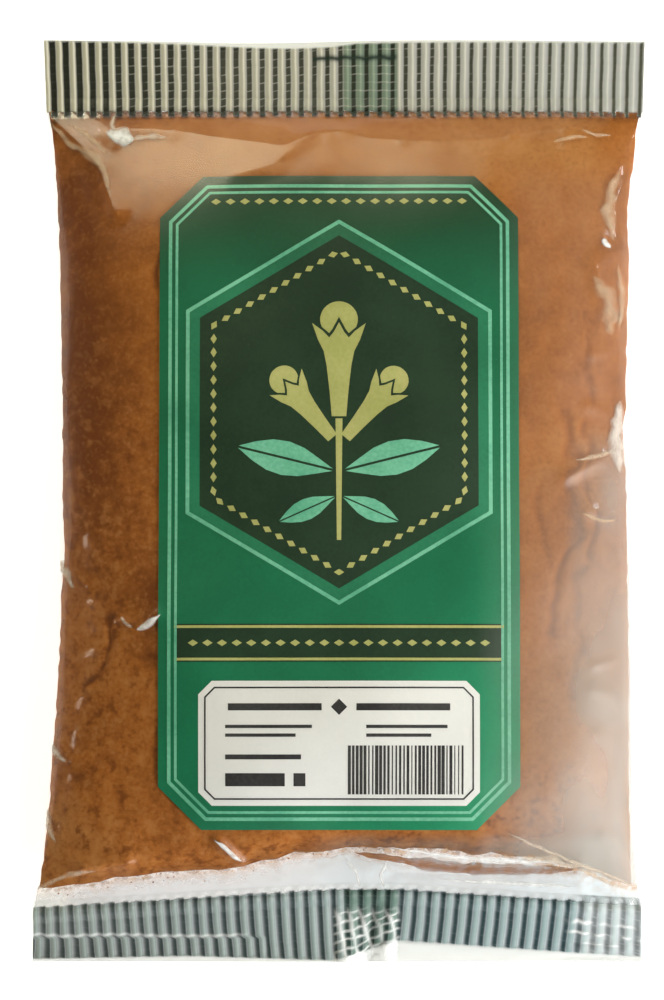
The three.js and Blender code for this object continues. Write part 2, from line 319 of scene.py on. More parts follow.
def zip_chains(upper, lower):
    """Triangles between two chains of (position, index) that share both ends."""
    i = j = 0
    faces = []
    while i < len(upper) - 1 or j < len(lower) - 1:
        step_upper = j == len(lower) - 1 or (i < len(upper) - 1 and upper[i + 1][0] <= lower[j + 1][0])
        a, b = upper[i][1], lower[j][1]
        c = upper[i + 1][1] if step_upper else lower[j + 1][1]
        i, j = (i + 1, j) if step_upper else (i, j + 1)
        if len({a, b, c}) == 3:
            faces.append((a, b, c))
    return faces


def skin(name, front, back, front_u, back_u):
    """A closed skin. `front` and `back` are grids of points [row, column]; the first and last front column
    are the sides, which the back shares."""
    rows, around = len(front), len(front_u) + len(back_u)
    points = np.concatenate([front, back[:, ::-1]], axis=1).reshape(-1, 3)
    faces = ring_faces(rows, around)
    for row in (0, rows - 1):
        first = row * around
        upper = [(u, first + i) for i, u in enumerate(front_u)]
        inner = [(u, first + around - 1 - i) for i, u in enumerate(back_u)]
        caps = zip_chains(upper, [upper[0], *inner, upper[-1]])
        faces += [face if row == 0 else face[::-1] for face in caps]
    return add_piece(name, points, faces)


def crowded(count, crowding):
    """Shares from -1 to 1 that lie closer together towards both ends."""
    s = np.linspace(-1, 1, count)
    return mix(s, np.sin(np.pi / 2 * s), crowding)


# %% [markdown]
# ## The film
#
# The film follows the rule above. Its ends run a little way into the seals.

# %% Film
FILM_COLUMNS, FILM_BACK_COLUMNS, FILM_ROWS = 190, 70, 280
END_TUCK = 0.6


def film_grid(u, rows):
    """Points of the film's front and back for columns at u."""
    line = along(BOTTOM_INNER_EDGE, u * SEAL_WIDTH / 2 + CENTRES["bottom"])
    y = mix(line - END_TUCK, TOP_LINE + END_TUCK, (rows[:, None] + 1) / 2)
    x = centre_at(y) + u * half_width_at(y)
    front, back = film_at(x, y)
    side = np.abs(u) == 1
    front = np.where(side, (front + back) / 2, front)
    return np.stack([x, y, front], -1), np.stack([x, y, back], -1)


def fill_skin(name, grid, columns, back_columns, rows, crowding):
    """A skin whose columns crowd to its sides and whose rows crowd to its ends."""
    u, back_u, rows = crowded(columns, crowding), crowded(back_columns, crowding)[1:-1], crowded(rows, 0.5)
    return skin(name, grid(u, rows)[0], grid(back_u, rows)[1], u, back_u)


film = fill_skin("film", film_grid, FILM_COLUMNS, FILM_BACK_COLUMNS, FILM_ROWS, crowding=0.85)

# %% [markdown]
# ## The powder
#
# Ground cloves fill the tube and press against the film, but they don't reach the very rim: there is a strip
# of clear film down each side, wider where the film stands off, and a deeper one above the bottom seal, where
# the powder ends in a ragged foot. We describe that outline by how far it keeps from the film's sides and
# ends, and let the powder's edge roll over from front to back.
#
# Where the powder doesn't quite touch the film it shows as soft dents and dark cracks, so those are real
# relief, in places most of a millimetre deep. The cracks are also painted darker in the powder's colour, as
# painted shade.

# %% Powder
FILM_GAP = 0.3
POWDER_COLUMNS, POWDER_BACK_COLUMNS, POWDER_ROWS = 210, 50, 300
# points of the ragged foot, then of the thin strip of powder below it
FOOT = [(-58, -73.8), (-33, -70.8), (-19, -69.5), (-9, -67.2), (2, -66.1), (6, -65.9), (14, -66), (22, -66.7),
        (29, -67.3), (35, -67.8), (42, -69.4), (48, -70.4), (57, -74)]
STRIP = [(2.5, -66.8), (10.3, -68), (16.4, -69), (22.5, -69.7), (30.5, -69.9), (38.7, -70), (43.8, -69.8)]
# (y, how far the powder keeps from that side)
LEFT_INSET = [(-74, 0.3), (-60, 0.4), (-45, 0.3), (-20, 0.3), (-12, 0.8), (0, 0.3), (40, 0.25), (73, 0.4)]
RIGHT_INSET = [(-74, 1.0), (-60, 0.5), (-35, 0.4), (-3, 0.4), (4, 0.5), (8, 1.0), (13, 1.0), (17, 0.5),
               (40, 0.4), (46, 0.4), (52, 1.0), (60, 0.8), (64, 0.4), (73, 0.5)]
SIDE_ROLL, FOOT_ROLL, HEAD_ROLL = 1.0, 5.0, 0.5  # how wide the powder's edge rolls over
# cracks in the powder, also painted dark as painted shade: depth, half width, then the line's points
CRACKS = [
    (0.5, 0.9, [(41, 15), (43.5, 6), (42, -1), (44, -8), (40, -17), (38.5, -26)]),
    (0.4, 0.7, [(46, 13), (45.5, 4), (47.5, -4), (46, -12)]),
    (0.3, 0.8, [(47, 34), (45.5, 26), (46.5, 18)]),
    (0.35, 0.8, [(44.5, -14), (43, -21), (44.5, -30), (42, -38)]),
    (0.25, 0.7, [(37.5, 2), (36.8, -7), (38.2, -14)]),
    (0.4, 0.8, [(-31, 48), (-34, 41), (-31.5, 34)]),
    (0.7, 0.6, [(-43.2, -23), (-43.6, -28), (-45, -32), (-47.2, -37)]),
    (0.35, 0.8, [(-30.5, -40), (-33.5, -45), (-34.5, -52)]),
    (0.3, 1.2, [(-36, -31), (-31, -34), (-27, -31)]),
]


def foot_at(x):
    ragged = 0.4 * noise(x, 0 * x, 3.1, 5) + 0.25 * noise(x, 0 * x, 1.1, 6)
    return along(FOOT, x) + ragged


def head_at(x):
    return TOP_LINE + 0.3 + 0.2 * noise(x, 0 * x + 40, 2.5, 7)


def crack_depth(x, y):
    sway = 1.2 * noise(x, y, 3, 14)
    depths = [depth * np.exp(-(away_from(line, x, y, sway) / half) ** 2) for depth, half, line in CRACKS]
    return np.max(depths, 0)


def powder_relief(x, y):
    """How far the powder's surface lies below its highest level."""
    lumps = 0.16 * noise(x, y, 6, 11) + 0.09 * noise(x, y, 2.4, 12) + 0.045 * noise(x, y, 1.1, 13)
    return np.clip(0.22 + lumps, 0, 1) + crack_depth(x, y)


def roll(inside, reach):
    """A quarter-round edge: 0 at the edge, 1 from `reach` inwards."""
    return np.sqrt(1 - np.clip(1 - inside / reach, 0, 1) ** 2)


def powder_grid(u, rows):
    """Points of the powder's front and back for columns at u."""
    span = u * (SEAL_WIDTH - 6) / 2
    y = mix(foot_at(span), head_at(span), (rows[:, None] + 1) / 2)
    left = centre_at(y) - half_width_at(y) + along(LEFT_INSET, y) + 0.15 * noise(y, 0 * y, 1.6, 8)
    right = centre_at(y) + half_width_at(y) - along(RIGHT_INSET, y) + 0.15 * noise(y, 0 * y, 1.6, 9)
    x = mix(left, right, (u + 1) / 2)
    front, back = film_at(x, y)
    front, back = front - FILM_GAP - powder_relief(x, y), back + 0.15
    front = np.maximum(front, back + 0.02)
    full = roll(np.minimum(x - left, right - x), SIDE_ROLL) * roll(y - foot_at(span), FOOT_ROLL)
    full = full * roll(head_at(span) - y, HEAD_ROLL)
    middle = mix(back, front, 0.45)
    return np.stack([x, y, mix(middle, front, full)], -1), np.stack([x, y, mix(middle, back, full)], -1)


powder = fill_skin("powder", powder_grid, POWDER_COLUMNS, POWDER_BACK_COLUMNS, POWDER_ROWS, crowding=0.75)

# %% [markdown]
# At the lower right a fold has cut off a thin strip of powder from the rest, with clear film between them. It
# is a flattened rope that tapers to both ends.

# %% Powder strip
def rope(name, line, half_width, half_height, columns=60, around=14):
    """A closed tapering rope of powder just beneath the front film."""
    line = np.array(line, float)
    share = np.linspace(0, 1, columns)
    marks = np.linspace(0, 1, len(line))
    x, y = np.interp(share, marks, line[:, 0]), np.interp(share, marks, line[:, 1])
    taper = (np.sin(np.pi * share) ** 0.6 + 0.02) * (1 + 0.35 * noise(x, y, 1.6, 51))
    turn = np.linspace(0, 2 * np.pi, around + 1)[:-1]
    middle = film_at(x, y)[0] - FILM_GAP - half_height * taper - 0.35
    x, y, middle, taper = (values[:, None] for values in (x, y, middle, taper))
    x = x + 0 * turn
    lumps = 0.1 * noise(x, y + 3 * np.cos(turn), 0.9, 52)
    y = y + half_width * taper * np.cos(turn) + lumps
    points = np.stack([x, y, middle + half_height * taper * np.sin(turn)], -1).reshape(-1, 3)
    ends = [tuple(range(around)), tuple(range((columns - 1) * around, columns * around))[::-1]]
    return add_piece(name, points, turned_over(ring_faces(columns, around)) + ends)


powder_strip = rope("powder-strip", STRIP, half_width=1.05, half_height=0.7)

# %% [markdown]
# ## Node trees from code
#
# The seals, the loose crumbs and the print are made by Geometry Nodes, and all materials are node trees too.
# `place` adds one node and wires it: a socket is given either a value or another node's output. `maths`,
# `times`, `plus` and `remap` are shorthand for the Math and Map Range nodes, which are the same in both kinds
# of tree.

# %% Node helpers
def place(tree, kind, sockets=None, **settings):
    """Adds a node, sets its options, and fills its inputs with values or links."""
    made = tree.nodes.new(kind)
    for key, value in settings.items():
        setattr(made, key, value)
    for key, source in (sockets or {}).items():
        if isinstance(source, bpy.types.NodeSocket):
            tree.links.new(source, made.inputs[key])
        else:
            made.inputs[key].default_value = source
    return made


def maths(tree, operation, *values, clamp=False):
    """The output of a Math node."""
    sockets = dict(enumerate(values))
    return place(tree, "ShaderNodeMath", sockets, operation=operation, use_clamp=clamp).outputs[0]


def times(tree, a, b, clamp=False):
    return maths(tree, "MULTIPLY", a, b, clamp=clamp)


def plus(tree, a, b, clamp=False):
    return maths(tree, "ADD", a, b, clamp=clamp)


def vector_of(tree, **parts):
    """A vector from its parts X, Y and Z."""
    return place(tree, "ShaderNodeCombineXYZ", parts).outputs[0]


def add_vectors(tree, a, b):
    return place(tree, "ShaderNodeVectorMath", {0: a, 1: b}, operation="ADD").outputs[0]


def remap(tree, value, low, high, to_low=0.0, to_high=1.0, smooth=True):
    """value from low..high to to_low..to_high, held at both ends."""
    kind = "SMOOTHSTEP" if smooth else "LINEAR"
    sockets = {"Value": value, "From Min": low, "From Max": high, "To Min": to_low, "To Max": to_high}
    return place(tree, "ShaderNodeMapRange", sockets, interpolation_type=kind).outputs["Result"]


def new_geometry_tree(name, inputs):
    """A Geometry Nodes tree with named inputs, given as name: (socket type, default)."""
    tree = bpy.data.node_groups.new(name, "GeometryNodeTree")
    tree.interface.new_socket(name="Geometry", in_out="INPUT", socket_type="NodeSocketGeometry")
    for key, (kind, default) in inputs.items():
        made = tree.interface.new_socket(name=key, in_out="INPUT", socket_type="NodeSocket" + kind)
        if default is not None:
            made.default_value = default
    tree.interface.new_socket(name="Geometry", in_out="OUTPUT", socket_type="NodeSocketGeometry")
    return tree, tree.nodes.new("NodeGroupInput").outputs


def finish_tree(tree, geometry, material):
    """Realize Instances, Set Material, and out."""
    real = realized(tree, geometry)
    painted = place(tree, "GeometryNodeSetMaterial", {"Geometry": real, "Material": material}).outputs[0]
    place(tree, "NodeGroupOutput", {"Geometry": painted})


def realized(tree, geometry):
    return place(tree, "GeometryNodeRealizeInstances", {"Geometry": geometry}).outputs[0]


def run_nodes(piece, tree, **values):
    """Runs a tree on a piece with the given inputs and keeps the result as a plain mesh."""
    modifier = piece.modifiers.new(tree.name, "NODES")
    modifier.node_group = tree
    for item in tree.interface.items_tree:
        key = item.name.lower().replace(" ", "_")
        if item.in_out == "INPUT" and key in values:
            modifier[item.identifier] = values[key]
    bpy.context.view_layer.update()
    evaluated = piece.evaluated_get(bpy.context.evaluated_depsgraph_get())
    mesh = bpy.data.meshes.new_from_object(evaluated, depsgraph=bpy.context.evaluated_depsgraph_get())
    piece.modifiers.clear()
    old, piece.data = piece.data, mesh
    bpy.data.meshes.remove(old)
    mesh.name = piece.name
    print(f"{piece.name}: {len(mesh.polygons)} faces from {tree.name}")
    return piece


def named(tree, attribute):
    """A stored attribute as a field in Geometry Nodes."""
    return place(tree, "GeometryNodeInputNamedAttribute", {"Name": attribute}, data_type="FLOAT").outputs[0]


# %% [markdown]
# ## Materials: shared patterns
#
# Patterns are node groups that give out masks only, so that a material reads as a list of what it is made of.
#
# *Mottle* is the uneven tone of a pressed powder: large soft clouds, small blotches and fine grain. The
# powder uses it at two sizes.
#
# *Wobble* is the soft unevenness of thin film, which bends its reflections.

# %% Shared shader groups
def shader_group(name, inputs, outputs):
    group = bpy.data.node_groups.new(name, "ShaderNodeTree")
    for key, default in inputs.items():
        made = group.interface.new_socket(name=key, in_out="INPUT", socket_type="NodeSocketFloat")
        made.default_value = default
    for key in outputs:
        group.interface.new_socket(name=key, in_out="OUTPUT", socket_type="NodeSocketFloat")
    return group, group.nodes.new("NodeGroupInput").outputs


def noise_of(tree, scale, detail=2.0, vector=None, roughness=0.5):
    """A noise texture's value in object space. `scale` is in cells per metre."""
    vector = vector or place(tree, "ShaderNodeTexCoord").outputs["Object"]
    sockets = {"Vector": vector, "Scale": scale, "Detail": detail, "Roughness": roughness}
    return place(tree, "ShaderNodeTexNoise", sockets).outputs["Fac"]


def noise_of_size(tree, size, detail):
    return noise_of(tree, maths(tree, "DIVIDE", 1.0, size), detail)


mottle_sizes = {"Cloud Size": 0.022, "Blotch Size": 0.004, "Grain Size": 0.0008}
mottle_group, mottle_in = shader_group("Mottle", mottle_sizes, ["Clouds", "Blotches", "Grain"])
place(mottle_group, "NodeGroupOutput", {
    name: noise_of_size(mottle_group, mottle_in[size], 3.0)
    for name, size in zip(("Clouds", "Blotches", "Grain"), mottle_sizes)
})

wobble_group, wobble_in = shader_group("Wobble", {"Wobble Size": 0.006}, ["Height"])
place(wobble_group, "NodeGroupOutput", {"Height": noise_of_size(wobble_group, wobble_in["Wobble Size"], 1.0)})


def use_group(tree, group, **values):
    made = tree.nodes.new("ShaderNodeGroup")
    made.node_tree = group
    for key, value in values.items():
        made.inputs[key.replace("_", " ")].default_value = value
    return made.outputs


def new_material(name):
    material = bpy.data.materials.new(name)
    material.use_nodes = True
    tree = material.node_tree
    tree.nodes.clear()
    return material, tree


def principled(tree, **values):
    """A Principled BSDF. Underscores in the names stand for spaces."""
    sockets = {key.replace("_", " "): value for key, value in values.items()}
    return place(tree, "ShaderNodeBsdfPrincipled", sockets).outputs["BSDF"]


def stored(tree, name):
    """A number stored on the mesh, for a material."""
    return place(tree, "ShaderNodeAttribute", attribute_name=name).outputs["Fac"]


def mix_shaders(tree, share, a, b):
    return place(tree, "ShaderNodeMixShader", {0: share, 1: a, 2: b}).outputs[0]


def mix_colours(tree, factor, a, b, blend="MIX"):
    made = place(tree, "ShaderNodeMix", {0: factor}, data_type="RGBA", blend_type=blend)
    for socket, source in ((6, a), (7, b)):
        if isinstance(source, bpy.types.NodeSocket):
            tree.links.new(source, made.inputs[socket])
        else:
            made.inputs[socket].default_value = (*source, 1.0)
    return made.outputs[2]


def surface(tree, shader):
    place(tree, "ShaderNodeOutputMaterial", {"Surface": shader})


# %% [markdown]
# ## Powder material
#
# Ground cloves are a dry, matte, warm brown. Close up it is never one brown: it is darker where it is packed
# or oily, paler where it is loose. Three sizes of mottle mix three browns, and a fine bump roughens it.
# Where the powder is coarser, a larger mottle adds dark and pale lumps.
#
# The pack also has larger areas that are darker or paler. Some are the powder's own uneven tone; others
# are painted light and shade: the dark strip down its left side is painted shade of the side turned from the
# light, and the paler band under the top seal and the paler right and lower right are painted light. A list
# of soft patches puts them where they belong, stored on the mesh as one number per point.

# %% Powder material
DARK_CLOVE, MID_CLOVE, PALE_CLOVE = (0.17, 0.045, 0.004), (0.37, 0.122, 0.018), (0.50, 0.215, 0.060)
# centre, half width, half height, and how much paler (or darker) the powder is there: its own tone, or
# painted light and shade
TONE_AND_LIGHT_PATCHES = [
    ((-48, 30), 8, 42, -0.68), ((-50, 58), 6, 9, -0.30), ((53, 25), 4.5, 45, -0.30), ((-36, 36), 7, 15, 0.10),
    ((-45, 2), 9, 17, -0.30), ((-46, -30), 8, 13, 0.10), ((-33, -24), 6, 14, -0.70),
    ((-50, -58), 11, 13, 0.15), ((-30, -52), 10, 10, -0.10), ((6, 66), 70, 7, 0.25),
    ((48, 30), 20, 45, 0.12), ((44, -48), 18, 24, 0.30), ((47, 58), 6, 10, 0.1), ((20, -66), 20, 4, -0.25),
]
STRIP_TONE = -0.45


# The powder's tone with painted light and shade in it: random tone, then the listed patches.
def tone_and_light_at(x, y):
    tone = 0.16 * noise(x, y, 17, 41)
    for (px, py), half_wide, half_high, change in TONE_AND_LIGHT_PATCHES:
        away = ((x + 2.5 * noise(x, y, 7, 42) - px) / half_wide) ** 2 + ((y - py) / half_high) ** 2
        tone += change * np.exp(-away)
    # The cracks are painted darker as well: painted shade in them.
    return tone - 0.9 * crack_depth(x, y)


def coarse_at(x, y):
    """Where the powder is coarser to look at: at the left and above the bottom seal."""
    return np.clip(np.maximum((-26 - x) / 14, (-48 - y) / 12), 0, 1) * np.clip((46 - y) / 40, 0.25, 1)


def powder_material():
    material, tree = new_material("ground cloves")
    mottle = use_group(tree, mottle_group)
    tone = plus(tree, times(tree, mottle["Clouds"], 0.5), times(tree, mottle["Blotches"], 0.4))
    tone = maths(tree, "MULTIPLY_ADD", stored(tree, "tone"), 0.5, plus(tree, tone, 0.05))
    colour = mix_colours(tree, remap(tree, tone, 0.14, 0.50, smooth=False), DARK_CLOVE, MID_CLOVE)
    colour = mix_colours(tree, remap(tree, tone, 0.50, 0.86, smooth=False), colour, PALE_CLOVE)
    coarse = stored(tree, "coarse")
    share = maths(tree, "MULTIPLY_ADD", coarse, 0.15, 0.3)
    colour = mix_colours(tree, remap(tree, mottle["Grain"], 0.45, 0.80, 0.0, share), colour, DARK_CLOVE)
    colour = mix_colours(tree, remap(tree, mottle["Grain"], 0.50, 0.25, 0.0, 0.22), colour, PALE_CLOVE)
    lumps = use_group(tree, mottle_group, Blotch_Size=0.0026, Grain_Size=0.0016)
    lumps = plus(tree, times(tree, lumps["Blotches"], 0.6), times(tree, lumps["Grain"], 0.4))
    for full_at, most, brown in ((0.66, 0.8, DARK_CLOVE), (0.36, 0.35, PALE_CLOVE)):
        share = times(tree, coarse, remap(tree, lumps, 0.50, full_at, 0.0, most))
        colour = mix_colours(tree, share, colour, brown)
    bump = place(tree, "ShaderNodeBump", {"Height": mottle["Grain"], "Strength": 0.35, "Distance": 0.0003})
    surface(tree, principled(tree, Base_Color=colour, Roughness=0.95, Specular_IOR_Level=0.15,
                             Normal=bump.outputs[0]))
    return material


clove_powder = powder_material()
powder.data.materials.append(clove_powder)
powder_x, powder_y, _ = points_of(powder).T
store(powder, "tone", tone_and_light_at(powder_x, powder_y))
store(powder, "coarse", coarse_at(powder_x, powder_y))
powder_strip.data.materials.append(clove_powder)
store(powder_strip, "tone", np.full(len(powder_strip.data.vertices), STRIP_TONE))

# %% [markdown]
# ## Film material
#
# Clear film is seen only by what it reflects, and by what sticks to it. Glass with refraction would be
# noisy and hide the powder's colour, so the film is a weak mirror, 4.5% straight on and more at a slant,
# over a transparent shader. A third share is dull. Part of it is a painted reflection of the key softbox, a
# whitish sheen mostly at the lower right and down the right side, and painted light over the clear film
# where the pack is empty behind it. The rest is clove dust, which clings to the clear film near the powder's
# edge. How much of each there is, and where the pack is empty behind the film, is stored on the mesh.

# %% Film material
FILM_MIRROR = 0.045
SLANT_GAIN = 0.4
# Colours of the dull share: of the painted reflection, of the painted light over the empty film, and of real
# clove dust.
SHEEN_WHITE, CLEAR_WHITE, DUST_BROWN = (0.50, 0.50, 0.465), (0.76, 0.84, 0.88), (0.52, 0.34, 0.21)
# The white haze below is painted light: a painted reflection of the key softbox at the right and lower right,
# and a painted brightening of the clear film where the pack is empty.
CORNER_SHEEN = 0.46  # share of white haze at the lower right corner
EMPTY_LIGHT = 0.28  # share of white haze where there is no powder behind the film
# share of painted reflection, then for x and for y: low, high and softness of a box
SHEEN_BOXES = [(0.06, (36, 60, 8), (-70, 55, 12)), (0.10, (45, 60, 4), (-40, 8, 5)),
              (0.16, (4, 44, 12), (-75, -65.5, 3))]
# share of painted reflection, then for x and for y: middle and reach of a spot
SHEEN_SPOTS = [(0.16, (51.5, 4), (1, 8)), (0.22, (5, 9), (-70.5, 3))]
CLEAN_OVER_STRIP = 0.7  # how much of the haze is gone where the powder strip presses on the film


def film_gloss(tree, normal, scuffs=0.5):
    """Transparent film with the reflection of its faces, part of it crisp and part blurred by scuffs."""
    slant = place(tree, "ShaderNodeLayerWeight", {"Blend": 0.5, "Normal": normal}).outputs["Facing"]
    share = maths(tree, "MULTIPLY_ADD", maths(tree, "POWER", slant, 5.0), SLANT_GAIN, FILM_MIRROR, clamp=True)
    clear = place(tree, "ShaderNodeBsdfTransparent", {"Color": (0.985, 0.985, 0.98, 1)}).outputs[0]
    crisp, soft = (
        principled(tree, Base_Color=(1, 1, 1, 1), Metallic=1.0, Roughness=roughness, Normal=normal)
        for roughness in (0.09, 0.32))
    return mix_shaders(tree, share, clear, mix_shaders(tree, scuffs, crisp, soft))


def film_material():
    material, tree = new_material("clear film")
    wobble = use_group(tree, wobble_group, Wobble_Size=0.006)["Height"]
    bump = place(tree, "ShaderNodeBump", {"Height": wobble, "Strength": 1.0, "Distance": 0.0001})
    normal = bump.outputs[0]
    smears = remap(tree, noise_of(tree, 700.0, 3.0), 0.30, 0.70)
    dust = times(tree, times(tree, stored(tree, "dust"), smears, clamp=True), 0.8)
    # The dull share is painted reflection and painted light where stored, and real clove dust near the
    # powder's foot.
    cover = plus(tree, maths(tree, "MAXIMUM", stored(tree, "haze"), dust), 0.004, clamp=True)
    colour = mix_colours(tree, stored(tree, "empty"), SHEEN_WHITE, CLEAR_WHITE)
    colour = mix_colours(tree, maths(tree, "DIVIDE", dust, cover, clamp=True), colour, DUST_BROWN)
    dull = principled(tree, Base_Color=colour, Roughness=0.6, Specular_IOR_Level=0.2, Normal=normal)
    surface(tree, mix_shaders(tree, cover, film_gloss(tree, normal), dull))
    return material


def dust_at(x, y):
    """The share of clove dust on the film: none over the powder, most just beyond its foot."""
    beyond_foot = foot_at(x) - y
    past = np.clip(beyond_foot, 0, None)
    dusty = np.exp(-past / 0.9) + 0.35 * np.exp(-past / 3.5) * box_share(x, 6, 52, 6)
    return np.clip((beyond_foot + 0.5) / 0.6, 0, 1) * dusty


def painted_light_at(x, y):
    """The share of painted light on the film: a painted reflection of the key softbox at the right and lower
    right, and painted light over the empty film.
    """
    from_left, from_top = np.clip((x - 25) / 28, 0, 1), np.clip((6 - y) / 75, 0, 1.1)
    haze = CORNER_SHEEN * from_left ** 0.8 * from_top ** 0.75
    haze = haze + sum(share * box_share(x, *wide) * box_share(y, *high) for share, wide, high in SHEEN_BOXES)
    haze = haze + sum(share * np.exp(-((x - mid_x) / reach_x) ** 2 - ((y - mid_y) / reach_y) ** 2)
                      for share, (mid_x, reach_x), (mid_y, reach_y) in SHEEN_SPOTS)
    haze = haze * (1 + 0.22 * noise(x, 0.3 * y, 3.2, 61)) + EMPTY_LIGHT * smooth_step((foot_at(x) - y) / 1.5)
    from_strip = y - along(STRIP, x) + 0.2
    return haze * (1 - CLEAN_OVER_STRIP * np.exp(-(from_strip / 1.1) ** 2) * box_share(x, 4, 42, 3))


clear_film = film_material()
film.data.materials.append(clear_film)
film_x, film_y, _ = points_of(film).T
store(film, "dust", dust_at(film_x, film_y))
store(film, "empty", smooth_step((foot_at(film_x) - film_y + 0.3) / 1.2))
store(film, "haze", painted_light_at(film_x, film_y))

# %% [markdown]
# ## The crimped seals
#
# The jaws press both layers of film into ribs that run along the pack, two and a half millimetres apart, with
# finer lines across them. The ribs catch the light on one flank and go dark on the other, which makes the
# seals look striped. We lay out the smooth band in code, with each point's place stored on it, and a Geometry
# Nodes tree presses the ribs into it and gives it its thickness.
#
# The free edges are cut straight, but the jaws met them askew, so a plain skirt of uneven depth is left. The
# bottom seal droops to the table and is gathered where the fin seam crosses it.

# %% Seal bands
SEAL_TUCK = 1.4
FIN_ROOT, FIN_EDGE = 0.6, 10.6  # where the fin seam runs, from the pack's middle line
POINTS_PER_RIB = 8
RIB_ZONE_ROWS, SKIRT_ROWS = 54, 6


def top_height(x):
    return SIDE_HEIGHT - 0.6 - 1.8 * np.exp(-((x + 15) / 16) ** 2) + 0.5 * np.sin(x / 14)


def kink_share(x):
    return np.clip((x - KINK[0]) / (KINK[1] - KINK[0]), 0, 1)


def line_share(y, line_y, half):
    return np.exp(-((y - line_y) / half) ** 2)


def bottom_glints(x, y):
    """Painted highlights on the bottom seal: a pale crease along its left half, a crumple by the fin, glints
    at the right, and a paler right end.
    """
    crease = line_share(y, -82.2 + 0.3 * noise(x, 0 * x, 6, 22), 0.26) * box_share(x, -57, -20, 3)
    bent = 0.5 * noise(x, y, 2.2, 25)
    flat_lines = np.abs(np.sin((y - 0.35 * x + bent) * 1.9)) ** 12
    upright_lines = np.abs(np.sin((x + 0.25 * y + bent) * 1.3)) ** 10
    crumple = np.maximum(flat_lines, upright_lines)
    crumple = crumple * box_share(x, KINK[0] + 0.6, KINK[1] - 0.8, 0.8) * box_share(y, -88, -79, 2.5)
    crumple = crumple * (0.75 + 0.25 * noise(x, y, 1.5, 26))
    first = -79.6 - 0.13 * (x - 44) + 0.2 * noise(x, 0 * x, 2, 23)
    glints = np.maximum(line_share(y, first, 0.42), line_share(y, first - 2.1, 0.28))
    glints = np.maximum(glints, 0.8 * line_share(y, first - 4.0, 0.25)) * box_share(x, 44, 58, 2.5)
    glints = glints * np.clip(0.7 + 0.9 * noise(x, y, 1.6, 27), 0, 1)
    return np.maximum(np.maximum(0.6 * crease, crumple), np.maximum(glints, 0.3 * box_share(x, 47, 58, 4)))


def top_mark(x, y):
    """A dark stroke across the doubled film at the top."""
    return line_share(y, 84.1 + 0.25 * noise(x, y, 1.7, 24), 0.5) * box_share(x, -5.2, 10.5, 0.3)


def bottom_gather(x, y):
    """How far the bottom seal buckles up and down at its kink and its right end."""
    share = kink_share(x) * np.pi
    buckled = 0.9 * np.sin(share * 3) + 0.6 * noise(x, y, 1.7, 21) * np.sin(share)
    return buckled + 0.25 * np.sin(2.2 * y) * smooth_step((x - 41) / 5)


def nothing(x, y):
    return 0 * x


# ribs, centre, edge: the band's plan. inner, rib_end: where the ribs start and end. height, lean, gather:
# how the free edge is bent. streak, grid, mark: where painted highlights, cross lines and a dark mark show.
# shift: how far the ribs jump sideways at a crease.
TOP_BAND = {
    "ribs": 46, "centre": CENTRES["top"], "edge": TOP_EDGE,
    "inner": lambda x: TOP_LINE + 0 * x,
    "rib_end": [(-58, 87.4), (-29, 87), (-9, 86.3), (-2, 86.4), (3, 87), (58, 87.2)],
    "height": top_height,
    "lean": [(-58, 0), (58, 0)],
    "gather": nothing, "streak": nothing, "shift": nothing, "mark": top_mark,
    "grid": lambda x: 0.38 * box_share(x, -36, 10, 12) + 0.2 * box_share(x, 14, 40, 4) + 0.03,
}
BOTTOM_BAND = {
    "ribs": 44, "centre": CENTRES["bottom"], "edge": BOTTOM_EDGE,
    "inner": lambda x: along(BOTTOM_INNER_EDGE, x),
    "rib_end": [(-58, -87), (-30, -86.4), (KINK[0], -87.2), (KINK[1], -83.4), (57, -86.6)],
    "height": lambda x: along([(-58, 1.1), (KINK[0], 3.6), (KINK[1], 1.6), (57, 1.1)], x),
    "lean": [(-58, 0), (-48, 1.1), (-15, 1.1), (KINK[0], 0.7), (KINK[1], -1.4), (44, -1.4), (57, -0.1)],
    "gather": bottom_gather, "streak": bottom_glints, "mark": nothing,
    "shift": lambda x, y: 0.26 * smooth_step((-82.4 - y) / 0.6) * box_share(x, -57, -16, 3),
    "grid": lambda x: 0.10 + 0.5 * box_share(x, 48, 58, 4),
}


